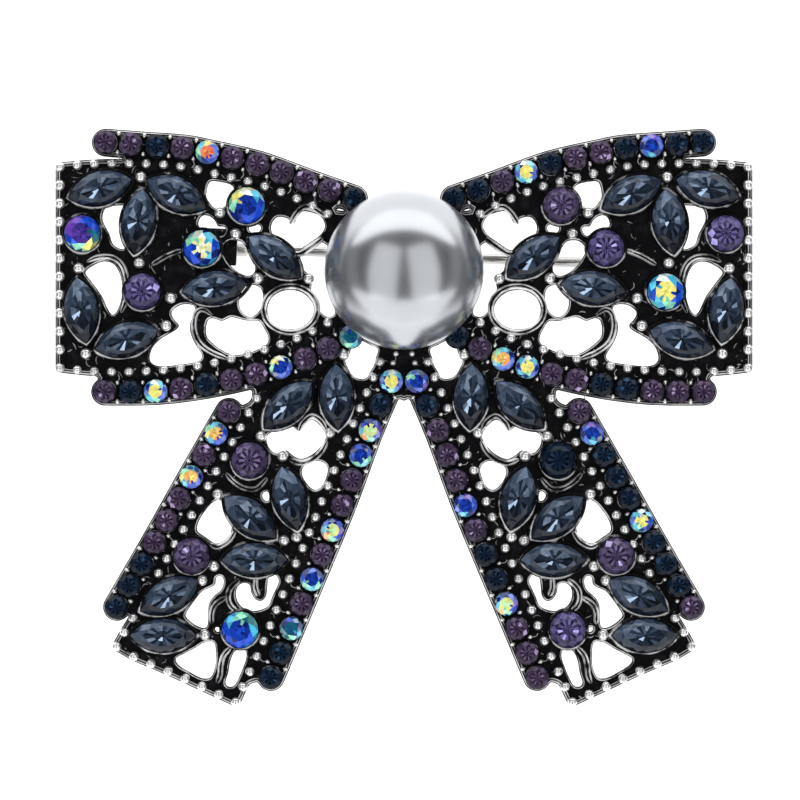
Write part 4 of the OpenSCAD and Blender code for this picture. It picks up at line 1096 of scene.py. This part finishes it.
for s, half in ((-1, "left"), (1, "right")):
    for i, at in enumerate(lay(places(MEDIUMS), s)):
        letter = MEDIUM_COLOURS[(s + 1) // 2][i]
        tints = "t" if (s, i) in BLUE_VIOLETS else "v" if letter == "p" else letter
        steps = 16 if letter == "a" else 20
        local = np.random.default_rng(2000 + 10 * i + (s + 1))
        one, name = Shape(), f"round_{half}_{i + 1}"
        stone(one, MEDIUM_H, lambda k: round_outline(MEDIUM_D * k, steps), at, local.uniform(0, 0.7), tints,
              local, look=LOOKS_MEDIUM.get((s, i), "blue"))
        one.make("cut_" + name, STONE[letter], smooth=0, replaces=(name,), slot="stones_" + WORDS[letter])
    for i, (x, y, turn) in enumerate(MARQUISES):
        local = np.random.default_rng(3000 + 10 * i + (s + 1))
        one, name = Shape(), f"marquise_{half}_{i + 1}"
        stone(one, MARQ_H, lambda k: marquise_outline(MARQ_L * k, MARQ_W * k, 10), lay(place([x, y]), s)[0],
              math.radians(-s * turn), "m", local, table=0.62, middle=0.83)
        one.make("cut_" + name, STONE["m"], smooth=0, replaces=(name,), slot="stones_slate")

# ---------------------------------------------------------------- pearl, pin and rivet
pearl = Shape()
flat = PEARL_R - PEARL_H
arc = np.linspace(math.asin(flat / PEARL_R), math.pi / 2, 64)[:-1]
ball = [(PEARL_R * math.cos(a), PEARL_R * math.sin(a)) for a in arc]
rim = ball[0][0]
v, f = lathe([(0, flat + PEG_BORE_H), (PEG_BORE_R, flat + PEG_BORE_H), (PEG_BORE_R, flat), (rim - 0.08, flat),
              (rim - 0.02, flat + 0.02)] + ball[1:] + [(0, PEARL_R)], 128)
pearl.add(v + [*place(PEARL_AT), PEARL_MID], f)
pearl.make("pearl_bead", PEARL, smooth=35, replaces=("pearl",), slot="pearl")

pin = Shape()
eye_r, eye_w, cut = EYE_D / 2, EYE_W / 2, 0.12
half_eye = [(bore, -eye_w + 0.05), (bore + 0.05, -eye_w), (eye_r - cut, -eye_w), (eye_r, -eye_w + cut)]
eye = half_eye + [(r, -y) for r, y in half_eye[::-1]]
v = np.array([[r * x, y, r * z] for r, y in eye for x, z in circle(40)])
pin.add(on_stem(v), reversed_faces(grid_faces(len(eye), 40, closed_rows=True)))
root_r, stem_r, taper_r = ROOT_D / 2, STEM_D / 2, STEM_D / 2 * 0.7
straight, point = STEM_REACH - CATCH_L / 2 - 1, STEM_REACH + CATCH_L / 2
stem = [(0, eye_r * 0.75), (root_r - 0.05, eye_r * 0.75), (root_r, eye_r * 0.9), (root_r, ROOT_L - 0.35),
        (root_r - 0.06, ROOT_L - 0.15), (stem_r + 0.06, ROOT_L - 0.02), (stem_r, ROOT_L)]
stem += [(stem_r, x) for x in np.linspace(ROOT_L, straight, 12)[1:]]
stem += [(taper_r + (stem_r - taper_r) * (1 - k), straight + (point - straight) * k)
         for k in (0.33, 0.66, 1.0)]
stem += [(taper_r * (1 - 0.64 * k), point + (POINT_L - 0.04) * k) for k in (0.25, 0.5, 0.75, 1.0)]
v, f = along_x(stem + [(0, point + POINT_L)], 24)
pin.add(on_stem(v), f)
pin.make("bright_pin", STEEL, smooth=35, body="stem", replaces=("pin_stem",), slot="pin_metal")

rivet = Shape()
head_r, head_y = RIVET_D / 2, EAR_OUT - 0.05
head = [(0, -head_y), (head_r * 0.6, -head_y), (head_r * 0.9, -head_y + 0.08), (head_r, -head_y + 0.2)]
v, f = along_y(head + [(r, -y) for r, y in head[::-1]], 28)
rivet.add(on_stem(v), f)
rivet.make("rivet", STEEL, smooth=35, replaces=("hinge_rivet",), slot="pin_metal")


# ---------------------------------------------------------------- floor, light and camera, in metres
FLOOR_GLOW, ROOM_GREY = 0.85, (0.06, 0.06, 0.065)


def stage_plane():
    """A pale floor that shows in the metal only where it lies in front of the bow or behind it."""
    mesh = bpy.data.meshes.new("pale_floor")
    k = FLOOR_HALF
    mesh.from_pydata([(-k, -k, 0), (k, -k, 0), (k, k, 0), (-k, k, 0)], [], [(0, 1, 2, 3)])
    mat, tree, surface, at = new_material("pale_floor")
    split = tree.nodes.new("ShaderNodeSeparateXYZ")
    feed(tree, split, {0: at})
    x = node(tree, "Math", {0: split.outputs["X"]}, operation="ABSOLUTE")
    y = node(tree, "Math", {0: split.outputs["Y"]}, operation="ABSOLUTE")
    near = node(tree, "Math", {0: y, 1: 0.03}, operation="ADD")
    aside = node(tree, "Math", {0: x, 1: near}, operation="DIVIDE")
    glossy = node(tree, "LightPath", {}, "Is Glossy Ray")
    seen = mapped(tree, aside, FLOOR_GLOW, 0.05, 0.5, 1.3)
    glow = node(tree, "Mix", {0: glossy, 2: FLOOR_GLOW, 3: seen}, data_type="FLOAT")
    feed(tree, surface, {
        "Base Color": ramp(tree, glow, (0.1, ROOM_GREY), (FLOOR_GLOW, (0.5, 0.5, 0.5))), "Roughness": 0.9,
        "Specular IOR Level": 0.0, "Emission Color": (1, 1, 1, 1), "Emission Strength": glow})
    mesh.materials.append(mat)
    show(bpy.data.objects.new("pale_floor", mesh))


def panel(name, at, size, radiance, towards=(0, 0, 0.005), shape="RECTANGLE", roll=0.0, glossy=True):
    """A soft box whose own face has this radiance."""
    data = bpy.data.lights.new(name, "AREA")
    data.shape = shape
    data.size, data.size_y = size
    data.energy = radiance * math.pi * size[0] * size[1]
    obj = show(bpy.data.objects.new(name, data))
    obj.location = at
    z = (Vector(at) - Vector(towards)).normalized()
    across = Vector((0, 1, 0)) if abs(z.x) > 0.9 else Vector((1, 0, 0))
    x = (across - z * across.dot(z)).normalized()
    turn = Matrix((x, z.cross(x), z)).transposed().to_quaternion()
    obj.rotation_mode = "QUATERNION"
    obj.rotation_quaternion = turn @ Quaternion((0, 0, 1), math.radians(roll))
    obj.visible_camera = False
    obj.visible_glossy = glossy


def facing(x, y, away):
    """The place this far off whose direction has these slopes across and up from the sheet's upright."""
    x, y, z = np.array([x, y, 1.0]) / math.sqrt(x * x + y * y + 1) * away
    c, s = math.cos(TILT), math.sin(TILT)
    return (x, y * c - z * s, y * s + z * c)


stage_plane()
for s in (-1, 1):
    panel("light_front", facing(s * 0.58, -0.06, 0.62), (0.50, 1.0), 0.95, roll=s * 7.0)
    panel("light_side", (s * 0.62, 0.0, 0.07), (0.5, 0.3), 0.22)
level = (0, 0, 0.02)
panel("light_top", (0.0, 0.60, 0.02), (2.5, 0.84), 1.5, towards=level, shape="ELLIPSE")
panel("light_low", (0.0, -0.60, 0.02), (3.2, 1.0), 1.05, towards=level, shape="ELLIPSE")
panel("light_fill", (0.0, 0.0, 1.2), (1.6, 1.6), 1.3, glossy=False)

# a dark room for reflections, white for the camera
world = bpy.data.worlds.new("studio")
bpy.context.scene.world = world
world.use_nodes = True
tree = world.node_tree
seen = node(tree, "LightPath", {}, "Is Camera Ray")
room = node(tree, "Mix", {0: seen, 6: (*ROOM_GREY, 1), 7: (1, 1, 1, 1)}, 2, data_type="RGBA")
feed(tree, tree.nodes["Background"], {"Color": room})

# the camera looks along the sheet's own upright, as the photograph does
PHOTO_SIZE, MM_A_PIXEL = 800, 0.0854701
PHOTO_X, PHOTO_Y = 404, 417.5       # where the photograph shows the middle of the bow
LENS, SENSOR = 200.0, 36.0
half = PHOTO_SIZE / 2
look_at = at_rest([[(half - PHOTO_X) * MM_A_PIXEL, (PHOTO_Y - half) * MM_A_PIXEL, SHEET]])[0]
reach = PHOTO_SIZE * MM_A_PIXEL / 1000 / (SENSOR / LENS)
data = bpy.data.cameras.new("camera")
data.lens, data.sensor_width = LENS, SENSOR
data.clip_start, data.clip_end = 0.01, 20
camera = show(bpy.data.objects.new("camera", data))
camera.location = look_at + np.array([0, -math.sin(TILT), math.cos(TILT)]) * reach
camera.rotation_euler = (TILT, 0, 0)
bpy.context.scene.camera = camera
bpy.context.scene.view_settings.view_transform = "Standard"
